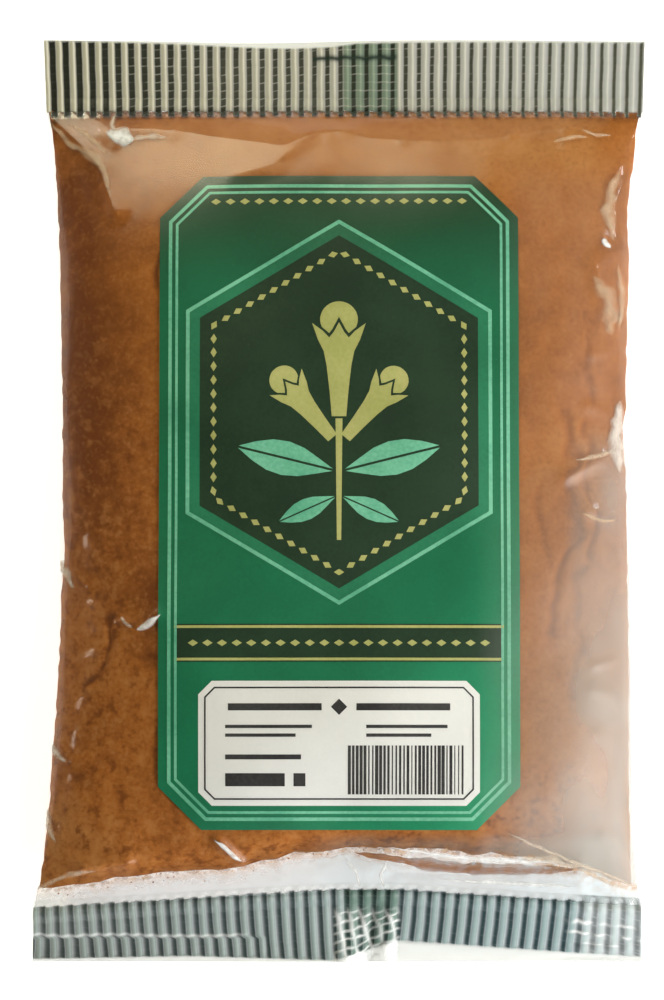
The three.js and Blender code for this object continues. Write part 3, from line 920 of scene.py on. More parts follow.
def seal_band(name, band):
    """The smooth band, with what the crimping and the colours need stored on it: which rib a point is on and
    how far across it, its distance from the inner edge, how hard it is pressed, and the masks for skirt, fin,
    painted highlights, cross lines and mark."""
    ribs = np.linspace(0, band["ribs"], band["ribs"] * POINTS_PER_RIB + 1)
    across = ribs / band["ribs"] - 0.5
    flat_x = band["centre"] + SEAL_WIDTH * across
    inner, rib_end = band["inner"](flat_x), along(band["rib_end"], flat_x)
    start = inner - SEAL_TUCK * np.sign(band["edge"])
    ribbed = np.linspace(0, 1, RIB_ZONE_ROWS)[:, None]
    skirt = np.linspace(0, 1, SKIRT_ROWS + 1)[1:, None]
    y = np.concatenate([mix(start, rib_end, ribbed), mix(rib_end, band["edge"] + 0 * flat_x, skirt)])
    share = (y - start) / (band["edge"] - start)
    x = flat_x - SEAL_PINCH * (1 - share) * across + along(band["lean"], flat_x) * share ** 1.4
    inside, beyond = np.abs(y - start), np.abs(y) - np.abs(rib_end)
    z = mix(SIDE_HEIGHT, band["height"](flat_x), smooth_step(share))
    z = z + band["gather"](flat_x + 0 * y, y) * share
    on_film = film_at(x, y)[0] + 0.04
    z = mix(np.maximum(z, on_film), z, smooth_step((inside - SEAL_TUCK - 0.7) / 2.2))
    faces = grid_faces(*y.shape)
    faces = faces if band["edge"] > 0 else [face[::-1] for face in faces]
    piece = add_piece(name, np.stack([x, y, z], -1).reshape(-1, 3), faces)
    for key, values in {
        "rib": ribs - band["shift"](x, y), "row": inside, "skirt": smooth_step(beyond / 0.4 + 0.5),
        "press": smooth_step(inside / 1.6) * smooth_step(-beyond / 0.5), "grid": band["grid"](x) + 0 * y,
        "fin": box_share(x, FIN_ROOT, FIN_EDGE, 0.3),
        "streak": band["streak"](x, y), "mark": band["mark"](x, y),
    }.items():
        store(piece, key, values)
    return piece


def crimp_tree():
    """Presses ribs and fine cross lines into a band, and gives it a thickness."""
    tree, given = new_geometry_tree("Crimp", {
        "Rib Rise": ("Float", 0.35 * MM), "Line Rise": ("Float", 0.05 * MM), "Line Pitch": ("Float", 1.0),
        "Thickness": ("Float", 0.2 * MM), "Material": ("Material", None),
    })
    ribs = maths(tree, "COSINE", times(tree, named(tree, "rib"), 2 * math.pi))
    turns = maths(tree, "DIVIDE", named(tree, "row"), given["Line Pitch"])
    lines = maths(tree, "COSINE", times(tree, turns, 2 * math.pi))
    rise = plus(tree, times(tree, ribs, given["Rib Rise"]), times(tree, lines, given["Line Rise"]))
    rise = times(tree, rise, named(tree, "press"))
    normal = place(tree, "GeometryNodeInputNormal").outputs[0]
    offset = place(tree, "ShaderNodeVectorMath", {0: normal, "Scale": rise}, operation="SCALE").outputs[0]
    pressed = place(tree, "GeometryNodeSetPosition", {"Geometry": given["Geometry"], "Offset": offset})
    add_thickness(tree, pressed.outputs[0], given["Thickness"], given["Material"])
    return tree


CORNER_BEND = 0.9  # edges that bend by more than this many radians stay crisp
WELD_DISTANCE = 1e-7


def add_thickness(tree, sheet, thickness, material):
    """Turns a sheet into a closed thin solid: the sheet's faces move out along their normals, and a flipped
    copy of the sheet closes the underside."""
    given = {"Mesh": sheet, "Offset Scale": thickness, "Individual": False}
    raised = place(tree, "GeometryNodeExtrudeMesh", given).outputs["Mesh"]
    under = place(tree, "GeometryNodeFlipFaces", {"Mesh": sheet}).outputs[0]
    joined = place(tree, "GeometryNodeJoinGeometry")
    for part in (raised, under):
        tree.links.new(part, joined.inputs[0])
    welding = {"Geometry": joined.outputs[0], "Distance": WELD_DISTANCE}
    closed = place(tree, "GeometryNodeMergeByDistance", welding).outputs[0]
    bend = place(tree, "GeometryNodeInputMeshEdgeAngle").outputs["Unsigned Angle"]
    corner = place(tree, "FunctionNodeCompare", {0: bend, 1: CORNER_BEND}, operation="GREATER_THAN")
    shading = {"Geometry": closed, "Selection": corner.outputs[0], "Shade Smooth": False}
    finish_tree(tree, place(tree, "GeometryNodeSetShadeSmooth", shading, domain="EDGE").outputs[0], material)


# %% [markdown]
# ## Seal material
#
# The stripes are worked out from the same rib number that shapes the ribs: each rib has a dark flank, a pale
# flank and a thin bright crest. Light makes them on the real pack too, but crimped film sends it through so
# many small prisms that paint is the surer way to the strong black and cream of the photograph.
#
# The top seal is sharper and blacker at its left, finer and greyer at its right. The bottom seal is bluer,
# and at its left each rib shades softly from pale to dark like a saw tooth. Where the fin seam lies behind,
# the film is doubled and looks darker and greener. The pale crease, the crumple lines and the glints on the
# bottom seal are painted highlights.

# %% Seal material
# The painted shade and painted light of the ribs. dark, pale: colours at the left and at the right end.
# glint: the colour of each rib's crest, a painted highlight. flank: where in a rib its dark flank starts,
# then where it is full, each at the left and at the right. starts: how far from the inner edge the dark
# parts of a rib fade in, then the pale parts.
TOP_RIB_SHADING = {
    "dark": ((0.012, 0.014, 0.009), (0.075, 0.082, 0.062)),
    "pale": ((0.40, 0.385, 0.27), (0.43, 0.45, 0.42)),
    "glint": (0.80, 0.78, 0.66),
    "flank": ((0.33, 0.60), (0.48, 0.78)),
    "starts": ((0.0, 0.8), (1.1, 1.7)),
}
BOTTOM_RIB_SHADING = {
    "dark": ((0.055, 0.082, 0.072), (0.036, 0.080, 0.094)),
    "pale": ((0.205, 0.245, 0.215), (0.22, 0.33, 0.335)),
    "glint": (0.30, 0.37, 0.35),
    "flank": ((0.16, 0.42), (0.97, 0.78)),
    "starts": ((0.9, 1.4), (1.1, 1.5)),
}


SHADED_CREST, DOUBLED_GREEN = (0.52, 0.52, 0.56), (0.30, 0.46, 0.36)
# The white is that of the painted highlights on the bottom seal's crease, crumple and glints.
GLINT_WHITE, SKIRT_GREY, MARK_DARK = (0.86, 0.88, 0.87), (0.74, 0.77, 0.74), (0.003, 0.02, 0.012)
TOP_LINE_PITCH = 1.62  # mm between the top seal's cross lines
SKIRT_COVER = 0.45


# `ink` here holds the colours of the ribs' painted light and shade, not of any ink.
def seal_colour(tree, row, flank, along_seal, phase, ink):
    """The ribs' stripes of painted light and shade, with painted cross lines, painted highlights, skirt and
    mark over them.
    """
    fin, grid, streak, skirt, mark = (stored(tree, key) for key in ("fin", "grid", "streak", "skirt", "mark"))
    dark, pale = mix_colours(tree, along_seal, *ink["dark"]), mix_colours(tree, along_seal, *ink["pale"])
    pale = mix_colours(tree, remap(tree, phase, 0.34, 0.42, 0.0, 0.5), pale, SHADED_CREST)
    away = maths(tree, "ABSOLUTE", maths(tree, "SUBTRACT", phase, 0.27))
    crest = times(tree, remap(tree, away, 0.0, 0.13, 1.0, 0.0), remap(tree, along_seal, 0.3, 0.9, 0.8, 0.45))
    pale = mix_colours(tree, crest, pale, ink["glint"])
    colour = mix_colours(tree, flank, pale, dark)
    colour = mix_colours(tree, times(tree, fin, 0.85), colour, DOUBLED_GREEN, "MULTIPLY")
    # The fine cross lines are painted in the pale flank's colour: painted light on their small ridges.
    turns = maths(tree, "MULTIPLY_ADD", row, 2 * math.pi / TOP_LINE_PITCH, math.pi)
    lines = times(tree, remap(tree, maths(tree, "COSINE", turns), 0.7, 1.0), remap(tree, row, 1.6, 2.2))
    uneven = times(tree, grid, remap(tree, noise_of(tree, 300.0, 1.0), 0.35, 0.6, 0.15, 1.0))
    colour = mix_colours(tree, times(tree, lines, uneven), colour, pale)
    # Painted highlights, then the skirt and the dark mark.
    for share, paint in ((streak, GLINT_WHITE), (skirt, SKIRT_GREY), (mark, MARK_DARK)):
        colour = mix_colours(tree, share, colour, paint)
    return colour


def seal_cover(tree, row, flank, ink):
    """How opaque the seal is: full on the ribs, less on their pale parts and on the skirt."""
    skirt = stored(tree, "skirt")
    ragged = plus(tree, row, times(tree, noise_of(tree, 500.0), 0.8))
    ragged = maths(tree, "SUBTRACT", ragged, 0.4)
    dark_from, pale_from = ink["starts"]
    dark = times(tree, flank, remap(tree, ragged, *dark_from))
    pale = times(tree, maths(tree, "SUBTRACT", 1.0, flank), remap(tree, ragged, *pale_from, 0.0, 0.85))
    ribbed = times(tree, plus(tree, dark, pale), maths(tree, "SUBTRACT", 1.0, skirt))
    cover = plus(tree, ribbed, times(tree, skirt, SKIRT_COVER))
    painted = maths(tree, "MAXIMUM", stored(tree, "mark"), stored(tree, "streak"))
    return maths(tree, "MAXIMUM", cover, painted, clamp=True)


def seal_material(name, ribs, ink):
    material, tree = new_material(name)
    rib, row = stored(tree, "rib"), stored(tree, "row")
    along_seal = maths(tree, "DIVIDE", rib, float(ribs), clamp=True)
    starts, full = (remap(tree, along_seal, 0.1, 0.8, *ends, smooth=False) for ends in ink["flank"])
    phase = maths(tree, "FRACT", plus(tree, rib, times(tree, noise_of(tree, 220.0), 0.10)))
    flank = times(tree, remap(tree, phase, starts, full), remap(tree, phase, 0.88, 1.0, 1.0, 0.0))
    colour = seal_colour(tree, row, flank, along_seal, phase, ink)
    dull = principled(tree, Base_Color=colour, Roughness=0.5, Specular_IOR_Level=0.25)
    normal = place(tree, "ShaderNodeNewGeometry").outputs["Normal"]
    surface(tree, mix_shaders(tree, seal_cover(tree, row, flank, ink), film_gloss(tree, normal), dull))
    return material


crimp = crimp_tree()
top_seal = seal_band("top-seal", TOP_BAND)
top_film = seal_material("top seal film", TOP_BAND["ribs"], TOP_RIB_SHADING)
run_nodes(top_seal, crimp, rib_rise=0.22 * MM, line_rise=0.02 * MM, line_pitch=TOP_LINE_PITCH,
          material=top_film)
bottom_seal = seal_band("bottom-seal", BOTTOM_BAND)
bottom_film = seal_material("bottom seal film", BOTTOM_BAND["ribs"], BOTTOM_RIB_SHADING)
run_nodes(bottom_seal, crimp, rib_rise=0.2 * MM, line_rise=0.02 * MM, material=bottom_film)

# %% [markdown]
# ## The fin seam
#
# Down the back, the tube's two edges are welded face to face into a fin, ten millimetres wide, that lies
# folded to one side. It is a narrow band too, so the same tree presses its fine cross lines.

# %% Fin seam
FIN_SPAN, FIN_COLUMNS, FIN_ROWS = (-72.5, 72), 12, 560


def fin_band():
    across = np.linspace(0, 1, FIN_COLUMNS)
    y = np.linspace(*FIN_SPAN, FIN_ROWS)[:, None]
    u = mix(FIN_ROOT, FIN_EDGE, across) / (WAIST_WIDTH / 2)
    x = centre_at(y) + u * half_width_at(y)
    y = y + 0 * x
    back = film_at(x, y)[1]
    z = np.maximum(back - 0.32, 0.18) + 0.05 * noise(x, y, 6, 31)
    piece = add_piece("fin-seam", np.stack([x, y, z], -1).reshape(-1, 3), turned_over(grid_faces(*x.shape)))
    store(piece, "rib", 0 * x)
    store(piece, "row", y)
    store(piece, "press", smooth_step((across - 0.1) / 0.1) * smooth_step((0.95 - across) / 0.1) + 0 * x)
    return piece


fin_seam = fin_band()
run_nodes(fin_seam, crimp, rib_rise=0.0, line_rise=0.03 * MM, thickness=0.1 * MM, material=clear_film)

# %% [markdown]
# ## Loose crumbs
#
# Below the powder's foot the film is clear, and a few dozen crumbs lie loose there. A Geometry Nodes tree
# scatters tiny lumps over a strip of the back film, thickest near the foot. Each lump is a ball with few
# faces, because its radius is at most about a fifth of a millimetre.

# %% Crumbs
def crumb_tree():
    tree, given = new_geometry_tree("Scatter Crumbs", {
        "Crumbs Per Square Metre": ("Float", 6e5), "Crumb Radius": ("Float", 0.22 * MM), "Seed": ("Int", 1),
        "Material": ("Material", None),
    })
    spread = place(tree, "GeometryNodeDistributePointsOnFaces", {
        "Mesh": given["Geometry"],
        "Density": times(tree, named(tree, "near"), given["Crumbs Per Square Metre"]),
        "Seed": given["Seed"],
    })
    ball = {"Radius": given["Crumb Radius"], "Subdivisions": 1}
    lump = place(tree, "GeometryNodeMeshIcoSphere", ball).outputs[0]
    limits = {1: (6.3, 6.3, 6.3), "Seed": given["Seed"]}, {0: (0.3, 0.3, 0.3), "Seed": given["Seed"]}
    turn, size = (place(tree, "FunctionNodeRandomValue", limit, data_type="FLOAT_VECTOR").outputs[0]
                  for limit in limits)
    lumps = place(tree, "GeometryNodeInstanceOnPoints", {
        "Points": spread.outputs["Points"], "Instance": lump, "Rotation": turn, "Scale": size,
    }).outputs[0]
    finish_tree(tree, lumps, given["Material"])
    return tree


def crumb_ground():
    """A strip of the back film below the powder's foot, with the share of crumbs stored on it."""
    x = np.linspace(-54, 54, 140)
    line = along(BOTTOM_INNER_EDGE, x) + 0.8
    y = mix(line, foot_at(x) + 0.3, np.linspace(0, 1, 12)[:, None])
    x = x + 0 * y
    z = film_at(x, y)[1] + 0.35
    piece = add_piece("crumbs", np.stack([x, y, z], -1).reshape(-1, 3), grid_faces(*y.shape))
    near = np.exp(-(foot_at(x) - y) / 1.6) * (0.4 + 1.4 * box_share(x, -2, 12, 5))
    store(piece, "near", np.clip(near, 0.03, 1.5))
    return piece


crumbs = crumb_ground()
run_nodes(crumbs, crumb_tree(), material=clove_powder)

# %% [markdown]
# ## Flat artwork
#
# The print is ink on film, so it is thin, flat and sharp-edged. Each colour is one piece, cut flat from
# outlines first. The shapes need many small faces, because they are bent over the film afterwards: an outline
# is filled with a net of extra points, and lines and frames are cut into short lengths.

# %% Artwork helpers
ART_SPACING = 1.6  # between the points that a shape is cut into, mm
FINE_SPACING = 1.2  # the same in small shapes


def sides_of(outline):
    return list(zip(outline, np.roll(outline, -1, 0)))


def step_count(start, end, spacing=ART_SPACING):
    return max(1, math.ceil(np.linalg.norm(end - start) / spacing))


def split_sides(outline, counts):
    """Points along the sides of a closed outline, as many on each side as `counts` says."""
    return np.concatenate([mix(start, end, np.arange(count)[:, None] / count)
                           for (start, end), count in zip(sides_of(outline), counts)])


def is_inside(points, outline):
    """Which points lie inside a closed outline."""
    crossings = np.zeros(len(points), int)
    for (ax, ay), (bx, by) in sides_of(outline):
        if ay != by:
            spans = (points[:, 1] > min(ay, by)) & (points[:, 1] <= max(ay, by))
            crossings += spans & (points[:, 0] < ax + (points[:, 1] - ay) * (bx - ax) / (by - ay))
    return crossings % 2 == 1


def filled(outline, spacing=ART_SPACING):
    """Points and triangles that fill a closed outline."""
    outline = np.asarray(outline, float)
    rim = split_sides(outline, [step_count(*side, spacing) for side in sides_of(outline)])
    (low_x, low_y), (high_x, high_y) = rim.min(0), rim.max(0)
    xs, ys = np.meshgrid(np.arange(low_x, high_x, spacing), np.arange(low_y, high_y, spacing))
    xs[1::2] += spacing / 2
    net = np.stack([xs.ravel(), ys.ravel()], -1)
    net = net[is_inside(net, rim)]
    clear = [np.min(np.hypot(*(rim - point).T)) > 0.5 * spacing for point in net]
    points = np.concatenate([rim, net[np.array(clear, bool)]])
    edges = [(i, (i + 1) % len(rim)) for i in range(len(rim))]
    made = delaunay_2d_cdt([Vector(point) for point in points], edges, [], 1, 1e-5)
    return np.array([tuple(point) for point in made[0]]), [tuple(face) for face in made[2]]


def inset(outline, distance):
    """The outline moved inwards with its corners kept sharp. Its points run counter-clockwise."""
    points = np.asarray(outline, float)
    sides = np.roll(points, -1, 0) - points
    normals = np.stack([-sides[:, 1], sides[:, 0]], -1) / np.hypot(*sides.T)[:, None]
    before = np.roll(normals, 1, 0)
    shift = (before + normals) / (1 + (before * normals).sum(-1))[:, None]
    return points + distance * shift


def ring(outline, outer, inner):
    """A closed line of even width between two insets of an outline."""
    first, second = inset(outline, outer), inset(outline, inner)
    counts = [step_count(*side) for side in sides_of(first)]
    around = sum(counts)
    faces = [(i, (i + 1) % around, around + (i + 1) % around, around + i) for i in range(around)]
    return np.concatenate([split_sides(first, counts), split_sides(second, counts)]), faces


def stroke(start, end, width, end_width=None):
    """A straight line of ink, which may taper."""
    start, end = np.asarray(start, float), np.asarray(end, float)
    count = step_count(start, end)
    side = np.array([start[1] - end[1], end[0] - start[0]]) / np.linalg.norm(end - start) / 2
    share = np.linspace(0, 1, count + 1)[:, None]
    middle, half = mix(start, end, share), mix(width, width if end_width is None else end_width, share) * side
    faces = [(i, i + 1, count + 2 + i, count + 1 + i) for i in range(count)]
    return np.concatenate([middle - half, middle + half]), faces


def moved(shape, to, turn=0, scale=1):
    """A shape turned by `turn` degrees, scaled and moved."""
    points, faces = shape
    c, s = math.cos(math.radians(turn)), math.sin(math.radians(turn))
    return scale * points @ np.array([[c, s], [-s, c]]) + np.asarray(to, float), faces


def diamond(half_width, half_height):
    return [(0, -half_height), (half_width, 0), (0, half_height), (-half_width, 0)]


def artwork(name, shapes, level):
    """One flat piece from several shapes. `level` is how high over the film's face it will lie, in mm."""
    points, faces, used = [], [], 0
    for shape_points, shape_faces in shapes:
        points.append(np.column_stack([shape_points, np.zeros(len(shape_points))]))
        faces += [tuple(i + used for i in face) for face in shape_faces]
        used += len(shape_points)
    piece = add_piece(name, np.concatenate(points), faces)
    store(piece, "level", np.full(used, level * MM))
    return piece


# %% [markdown]
# ## What is printed
#
# The print is a design of our own, from plain shapes: a tall green panel with clipped corners, edged by two
# pale pinstripes, a six-sided dark field with a clove sprig in gold and mint, a bar with a row of gold
# diamonds, and a white field with dark rules and a block of bars. There is no lettering on it. The places of
# all its parts are given from the panel's middle line, `PRINT_X`, or centred on it.

# %% Print layout, in millimetres
PRINT_X = -0.4
# how high each layer lies over the film's face: the inks beneath it, the painted crease highlights just above
LEVELS = {"panel": -0.22, "field": -0.19, "line": -0.16, "detail": -0.13, "crease": 0.03}


def clipped_box(half, low, high, clip):
    """A box with its corners cut off, counter-clockwise."""
    left, right = PRINT_X - half, PRINT_X + half
    return [(left + clip, low), (right - clip, low), (right, low + clip), (right, high - clip),
            (right - clip, high), (left + clip, high), (left, high - clip), (left, low + clip)]


def box_of(half, low, high):
    return [(PRINT_X - half, low), (PRINT_X + half, low), (PRINT_X + half, high), (PRINT_X - half, high)]


def level_line(low, high, y, width):
    return stroke((PRINT_X + low, y), (PRINT_X + high, y), width)


PANEL = clipped_box(33.5, -62.5, 59.6, 8)
MEDALLION_Y = 15
MEDALLION = [(PRINT_X + x, MEDALLION_Y + y)
             for x, y in ((0, -36), (28.5, -19), (28.5, 19), (0, 36), (-28.5, 19), (-28.5, -19))]
BAND = (-31.5, -24.5)
WHITE_FIELD = clipped_box(26, -58, -35, 2.5)
RULE_DIAMOND = (PRINT_X, -39.8)
# from, to, height and width of each dark rule on the white field
RULES = [
    (-20.5, -3.2, -39.8, 1.3), (3.2, 20.5, -39.8, 1.3),
    (-21, -5, -43.4, 0.6), (-21, -8, -45, 0.6), (5, 20, -43.4, 0.6), (5, 17, -45, 0.6),
    (-21, -7, -49, 0.9), (-21, -10, -53.2, 2.4), (-8.4, -6.2, -53.2, 2.4),
]
BARS_CORNER = (1.5, -51.4)

# one clove bud, upright, with its foot at (0, 0): the long cup with its lobes, and the round cap between them
BUD_SIDE = [(1.0, 0), (1.3, 3.5), (1.7, 7), (2.1, 9), (2.9, 10.6), (3.7, 12.9), (2.2, 11.8), (1.35, 10.9),
            (0.7, 11.7)]
BUD_CUP = [(-1.0, 0), *BUD_SIDE, (0, 13), *((-x, y) for x, y in BUD_SIDE[:0:-1])]
BUD_CAP = [*((2.6 * math.cos(a), 13.4 + 2.5 * math.sin(a)) for a in np.radians(np.linspace(-25, 205, 22))),
           (-1.35, 11.5), (-0.95, 12), (0, 13.75), (0.95, 12), (1.35, 11.5)]
LEAF_HALF = [(0.0, 0.22), (3, 1.5), (6, 2.7), (9, 3.2), (12, 2.9), (15, 1.8), (18, 0.22)]
SPRIG_Y = MEDALLION_Y - 3


def leaf(to, turn, scale=1.0):
    """Two half leaves with a gap between them for the midrib."""
    lower = [(x, -y) for x, y in LEAF_HALF]
    return [moved(filled(half, FINE_SPACING), to, turn, scale) for half in (LEAF_HALF[::-1], lower)]


def bud(to, turn, scale=1.0):
    return [moved(filled(part, FINE_SPACING), to, turn, scale) for part in (BUD_CUP, BUD_CAP)]


gold_shapes = [
    *bud((PRINT_X, SPRIG_Y + 2), 0, 1.35), *bud((PRINT_X - 1.2, SPRIG_Y - 2), 40, 1.05),
    *bud((PRINT_X + 1.2, SPRIG_Y - 2), -40, 1.05),
    stroke((PRINT_X, SPRIG_Y + 1.6), (PRINT_X, SPRIG_Y - 21), 1.3, 0.8),
    level_line(-30.5, 30.5, BAND[0] + 0.5, 0.5), level_line(-30.5, 30.5, BAND[1] - 0.5, 0.5),
]
mint_shapes = [
    ring(PANEL, 1.7, 2.35), ring(PANEL, 3.0, 3.5), ring(MEDALLION, 0.0, 0.7),
    *leaf((PRINT_X - 1.2, SPRIG_Y - 8), 166), *leaf((PRINT_X + 1.2, SPRIG_Y - 8), 14),
    *leaf((PRINT_X - 0.8, SPRIG_Y - 13), 204, 0.62), *leaf((PRINT_X + 0.8, SPRIG_Y - 13), -24, 0.62),
]
rule_shapes = [
    ring(WHITE_FIELD, 1.1, 1.4), filled(diamond(1.5, 1.5) + np.array(RULE_DIAMOND), FINE_SPACING),
    *(level_line(*rule) for rule in RULES),
]
PRINTED = {
    "panel": ("panel", [filled(PANEL)]),
    "dark": ("field", [filled(inset(MEDALLION, 2.6)), filled(box_of(30.5, *BAND))]),
    "rim": ("field", [ring(MEDALLION, 0.7, 2.6)]),
    "white": ("field", [filled(WHITE_FIELD)]),
    "gold": ("line", gold_shapes), "mint": ("line", mint_shapes), "rules": ("line", rule_shapes),
}
prints = {ink: artwork("print-" + ink, shapes, LEVELS[level]) for ink, (level, shapes) in PRINTED.items()}

# %% [markdown]
# ## Rows of beads and bars
#
# The gold diamonds along a line, and the bars in their block, repeat, so Geometry Nodes make them. One tree
# turns a line into evenly spaced diamonds that follow it. The other sets out bars of random width.

# %% Repeating print
def line_piece(name, lines):
    """A mesh of edges only, from closed or open lines given as (points, closed)."""
    points, edges, used = [], [], 0
    for line, closed in lines:
        count = len(line)
        edges += [(used + i, used + (i + 1) % count) for i in range(count if closed else count - 1)]
        points += [(x, y, 0) for x, y in line]
        used += count
    mesh = bpy.data.meshes.new(name)
    mesh.from_pydata((np.array(points) * MM).tolist(), edges, [])
    return add_object(name, mesh)


def bead_tree():
    tree, given = new_geometry_tree("Bead Line", {
        "Spacing": ("Float", 2.6 * MM), "Half Length": ("Float", 0.95 * MM),
        "Half Width": ("Float", 0.6 * MM), "Level": ("Float", 0.0), "Material": ("Material", None),
    })
    curve = place(tree, "GeometryNodeMeshToCurve", {0: given["Geometry"]}).outputs[0]
    spread = {"Curve": curve, "Length": given["Spacing"]}
    even = place(tree, "GeometryNodeResampleCurve", spread, mode="LENGTH").outputs[0]
    tangent = place(tree, "GeometryNodeInputTangent").outputs[0]
    turn = place(tree, "FunctionNodeAlignRotationToVector", {"Vector": tangent}, axis="X").outputs[0]
    quad = place(tree, "GeometryNodeMeshCircle", {"Vertices": 4, "Radius": 1.0}, fill_type="NGON").outputs[0]
    size = vector_of(tree, X=given["Half Length"], Y=given["Half Width"], Z=1.0)
    beads = {"Points": even, "Instance": quad, "Rotation": turn, "Scale": size}
    finish_instances(tree, beads, given)
    return tree


def finish_instances(tree, sockets, given):
    """Puts instances on points, stores the level that the print lies at, and ends the tree."""
    instances = place(tree, "GeometryNodeInstanceOnPoints", sockets).outputs[0]
    levelling = {"Geometry": realized(tree, instances), "Name": "level", "Value": given["Level"]}
    levelled = place(tree, "GeometryNodeStoreNamedAttribute", levelling, data_type="FLOAT", domain="POINT")
    finish_tree(tree, levelled.outputs[0], given["Material"])


def bar_tree():
    tree, given = new_geometry_tree("Bar Block", {
        "Bars": ("Int", 30), "Pitch": ("Float", 0.72 * MM), "Height": ("Float", 9 * MM), "Seed": ("Int", 3),
        "Corner": ("Vector", (0, 0, 0)), "Level": ("Float", 0.0), "Material": ("Material", None),
    })
    step = vector_of(tree, X=given["Pitch"])
    line = {"Count": given["Bars"], "Start Location": given["Corner"], "Offset": step}
    row = place(tree, "GeometryNodeMeshLine", line).outputs[0]
    sheet = {"Size X": given["Pitch"], "Size Y": given["Height"], "Vertices X": 2, "Vertices Y": 7}
    bar = place(tree, "GeometryNodeMeshGrid", sheet).outputs["Mesh"]
    width = place(tree, "FunctionNodeRandomValue", {2: 0.2, 3: 0.85, "Seed": given["Seed"]}).outputs[1]
    size = vector_of(tree, X=width, Y=1.0, Z=1.0)
    finish_instances(tree, {"Points": row, "Instance": bar, "Scale": size}, given)
    return tree


band_middle = sum(BAND) / 2
prints["beads"] = line_piece("print-beads", [
    (inset(MEDALLION, 5.2), True),
    ([(PRINT_X - 27, band_middle), (PRINT_X + 27, band_middle)], False),
    ([(PRINT_X - 23, 54.6), (PRINT_X + 23, 54.6)], False),
])
run_nodes(prints["beads"], bead_tree(), level=LEVELS["detail"] * MM)
prints["bars"] = line_piece("print-bars", [([(0, 0), (1, 0)], False)])
bars_corner = (BARS_CORNER[0] * MM, BARS_CORNER[1] * MM, 0)
run_nodes(prints["bars"], bar_tree(), corner=bars_corner, level=LEVELS["line"] * MM)

# %% [markdown]
# ## Laying the print on the film
#
# The flat artwork drops onto the film like a sticker: from each point a ray goes down to the film, and the
# point moves to just beneath where it lands. Then the sheet gets a thickness, less than a hair's. Lying under
# the film's face keeps it as glossy as the film, as ink printed on the inside is.
#
# Printed ink is never quite even, so a shared group gives its density a fine grain and soft clouds. The green
# runs from a deep shade at the top to a bright one below, and towards the light at the lower right it is
# painted brighter: painted light.

# %% Lay the print
def lay_tree():
    tree, given = new_geometry_tree("Lay On Film", {
        "Film": ("Object", None), "Above": ("Float", 40 * MM), "Thickness": ("Float", 0.015 * MM),
        "Material": ("Material", None),
    })
    target = place(tree, "GeometryNodeObjectInfo", {"Object": given["Film"]}).outputs["Geometry"]
    here = place(tree, "GeometryNodeInputPosition").outputs[0]
    above = add_vectors(tree, here, vector_of(tree, Z=given["Above"]))
    ray = {"Target Geometry": target, "Source Position": above, "Ray Direction": (0, 0, -1)}
    hit = place(tree, "GeometryNodeRaycast", ray).outputs["Hit Position"]
    landed = add_vectors(tree, hit, vector_of(tree, Z=named(tree, "level")))
    laid = place(tree, "GeometryNodeSetPosition", {"Geometry": given["Geometry"], "Position": landed})
    add_thickness(tree, laid.outputs[0], given["Thickness"], given["Material"])
    return tree


ink_group, ink_in = shader_group("Ink Density", {"Cloud Size": 0.012, "Grain Size": 0.0007}, ["Density"])
ink_clouds = noise_of_size(ink_group, ink_in["Cloud Size"], 3.0)
ink_grain = noise_of_size(ink_group, ink_in["Grain Size"], 1.0)
density = plus(ink_group, times(ink_group, ink_clouds, 0.7), times(ink_group, ink_grain, 0.3))
place(ink_group, "NodeGroupOutput", {"Density": density})


def ink_material(name, thin, dense, roughness=0.5):
    """Ink whose colour goes from `thin` to `dense`: each one colour, or the four of a run of green."""
    material, tree = new_material(name)
    thickness = use_group(tree, ink_group)["Density"]
    thin, dense = (green_run(tree, *colour) if len(colour) == 4 else colour for colour in (thin, dense))
    colour = mix_colours(tree, remap(tree, thickness, 0.3, 0.7), thin, dense)
    surface(tree, principled(tree, Base_Color=colour, Roughness=roughness, Specular_IOR_Level=0.3))
    return material


def green_run(tree, top, middle, foot, lit_green):
    """Green that changes down the panel, with painted light that brightens it to the lower right."""
    here = place(tree, "ShaderNodeTexCoord").outputs["Object"]
    x, y, _ = place(tree, "ShaderNodeSeparateXYZ", {0: here}).outputs
    colour = mix_colours(tree, remap(tree, y, 0.060, 0.030), top, middle)
    colour = mix_colours(tree, remap(tree, y, 0.010, -0.050), colour, foot)
    corner = maths(tree, "SUBTRACT", x, times(tree, y, 0.6))
    return mix_colours(tree, remap(tree, corner, 0.020, 0.065), colour, lit_green)


# each run of green: at the top, in the middle, at the foot, and where painted light makes it brightest
GREEN_THIN = (0.008, 0.050, 0.016), (0.004, 0.165, 0.070), (0.006, 0.190, 0.085), (0.010, 0.300, 0.135)
GREEN_DENSE = (0.006, 0.038, 0.012), (0.003, 0.135, 0.056), (0.004, 0.155, 0.068), (0.008, 0.250, 0.115)
RIM_THIN = (0.02, 0.13, 0.06), (0.02, 0.23, 0.11), (0.02, 0.22, 0.10), (0.05, 0.36, 0.19)
RIM_DENSE = (0.01, 0.10, 0.045), (0.012, 0.17, 0.08), (0.01, 0.16, 0.075), (0.04, 0.28, 0.14)
INKS = {
    "panel": ink_material("green ink", GREEN_THIN, GREEN_DENSE),
    "dark": ink_material("dark green ink", (0.014, 0.046, 0.018), (0.008, 0.030, 0.012)),
    "rim": ink_material("rim green ink", RIM_THIN, RIM_DENSE),
    "white": ink_material("white ink", (0.84, 0.85, 0.83), (0.80, 0.81, 0.79)),
    "gold": ink_material("gold ink", (0.52, 0.52, 0.20), (0.40, 0.42, 0.13), roughness=0.4),
    "mint": ink_material("mint ink", (0.22, 0.62, 0.42), (0.10, 0.42, 0.26)),
    "rules": ink_material("black ink", (0.05, 0.05, 0.05), (0.02, 0.02, 0.02)),
}
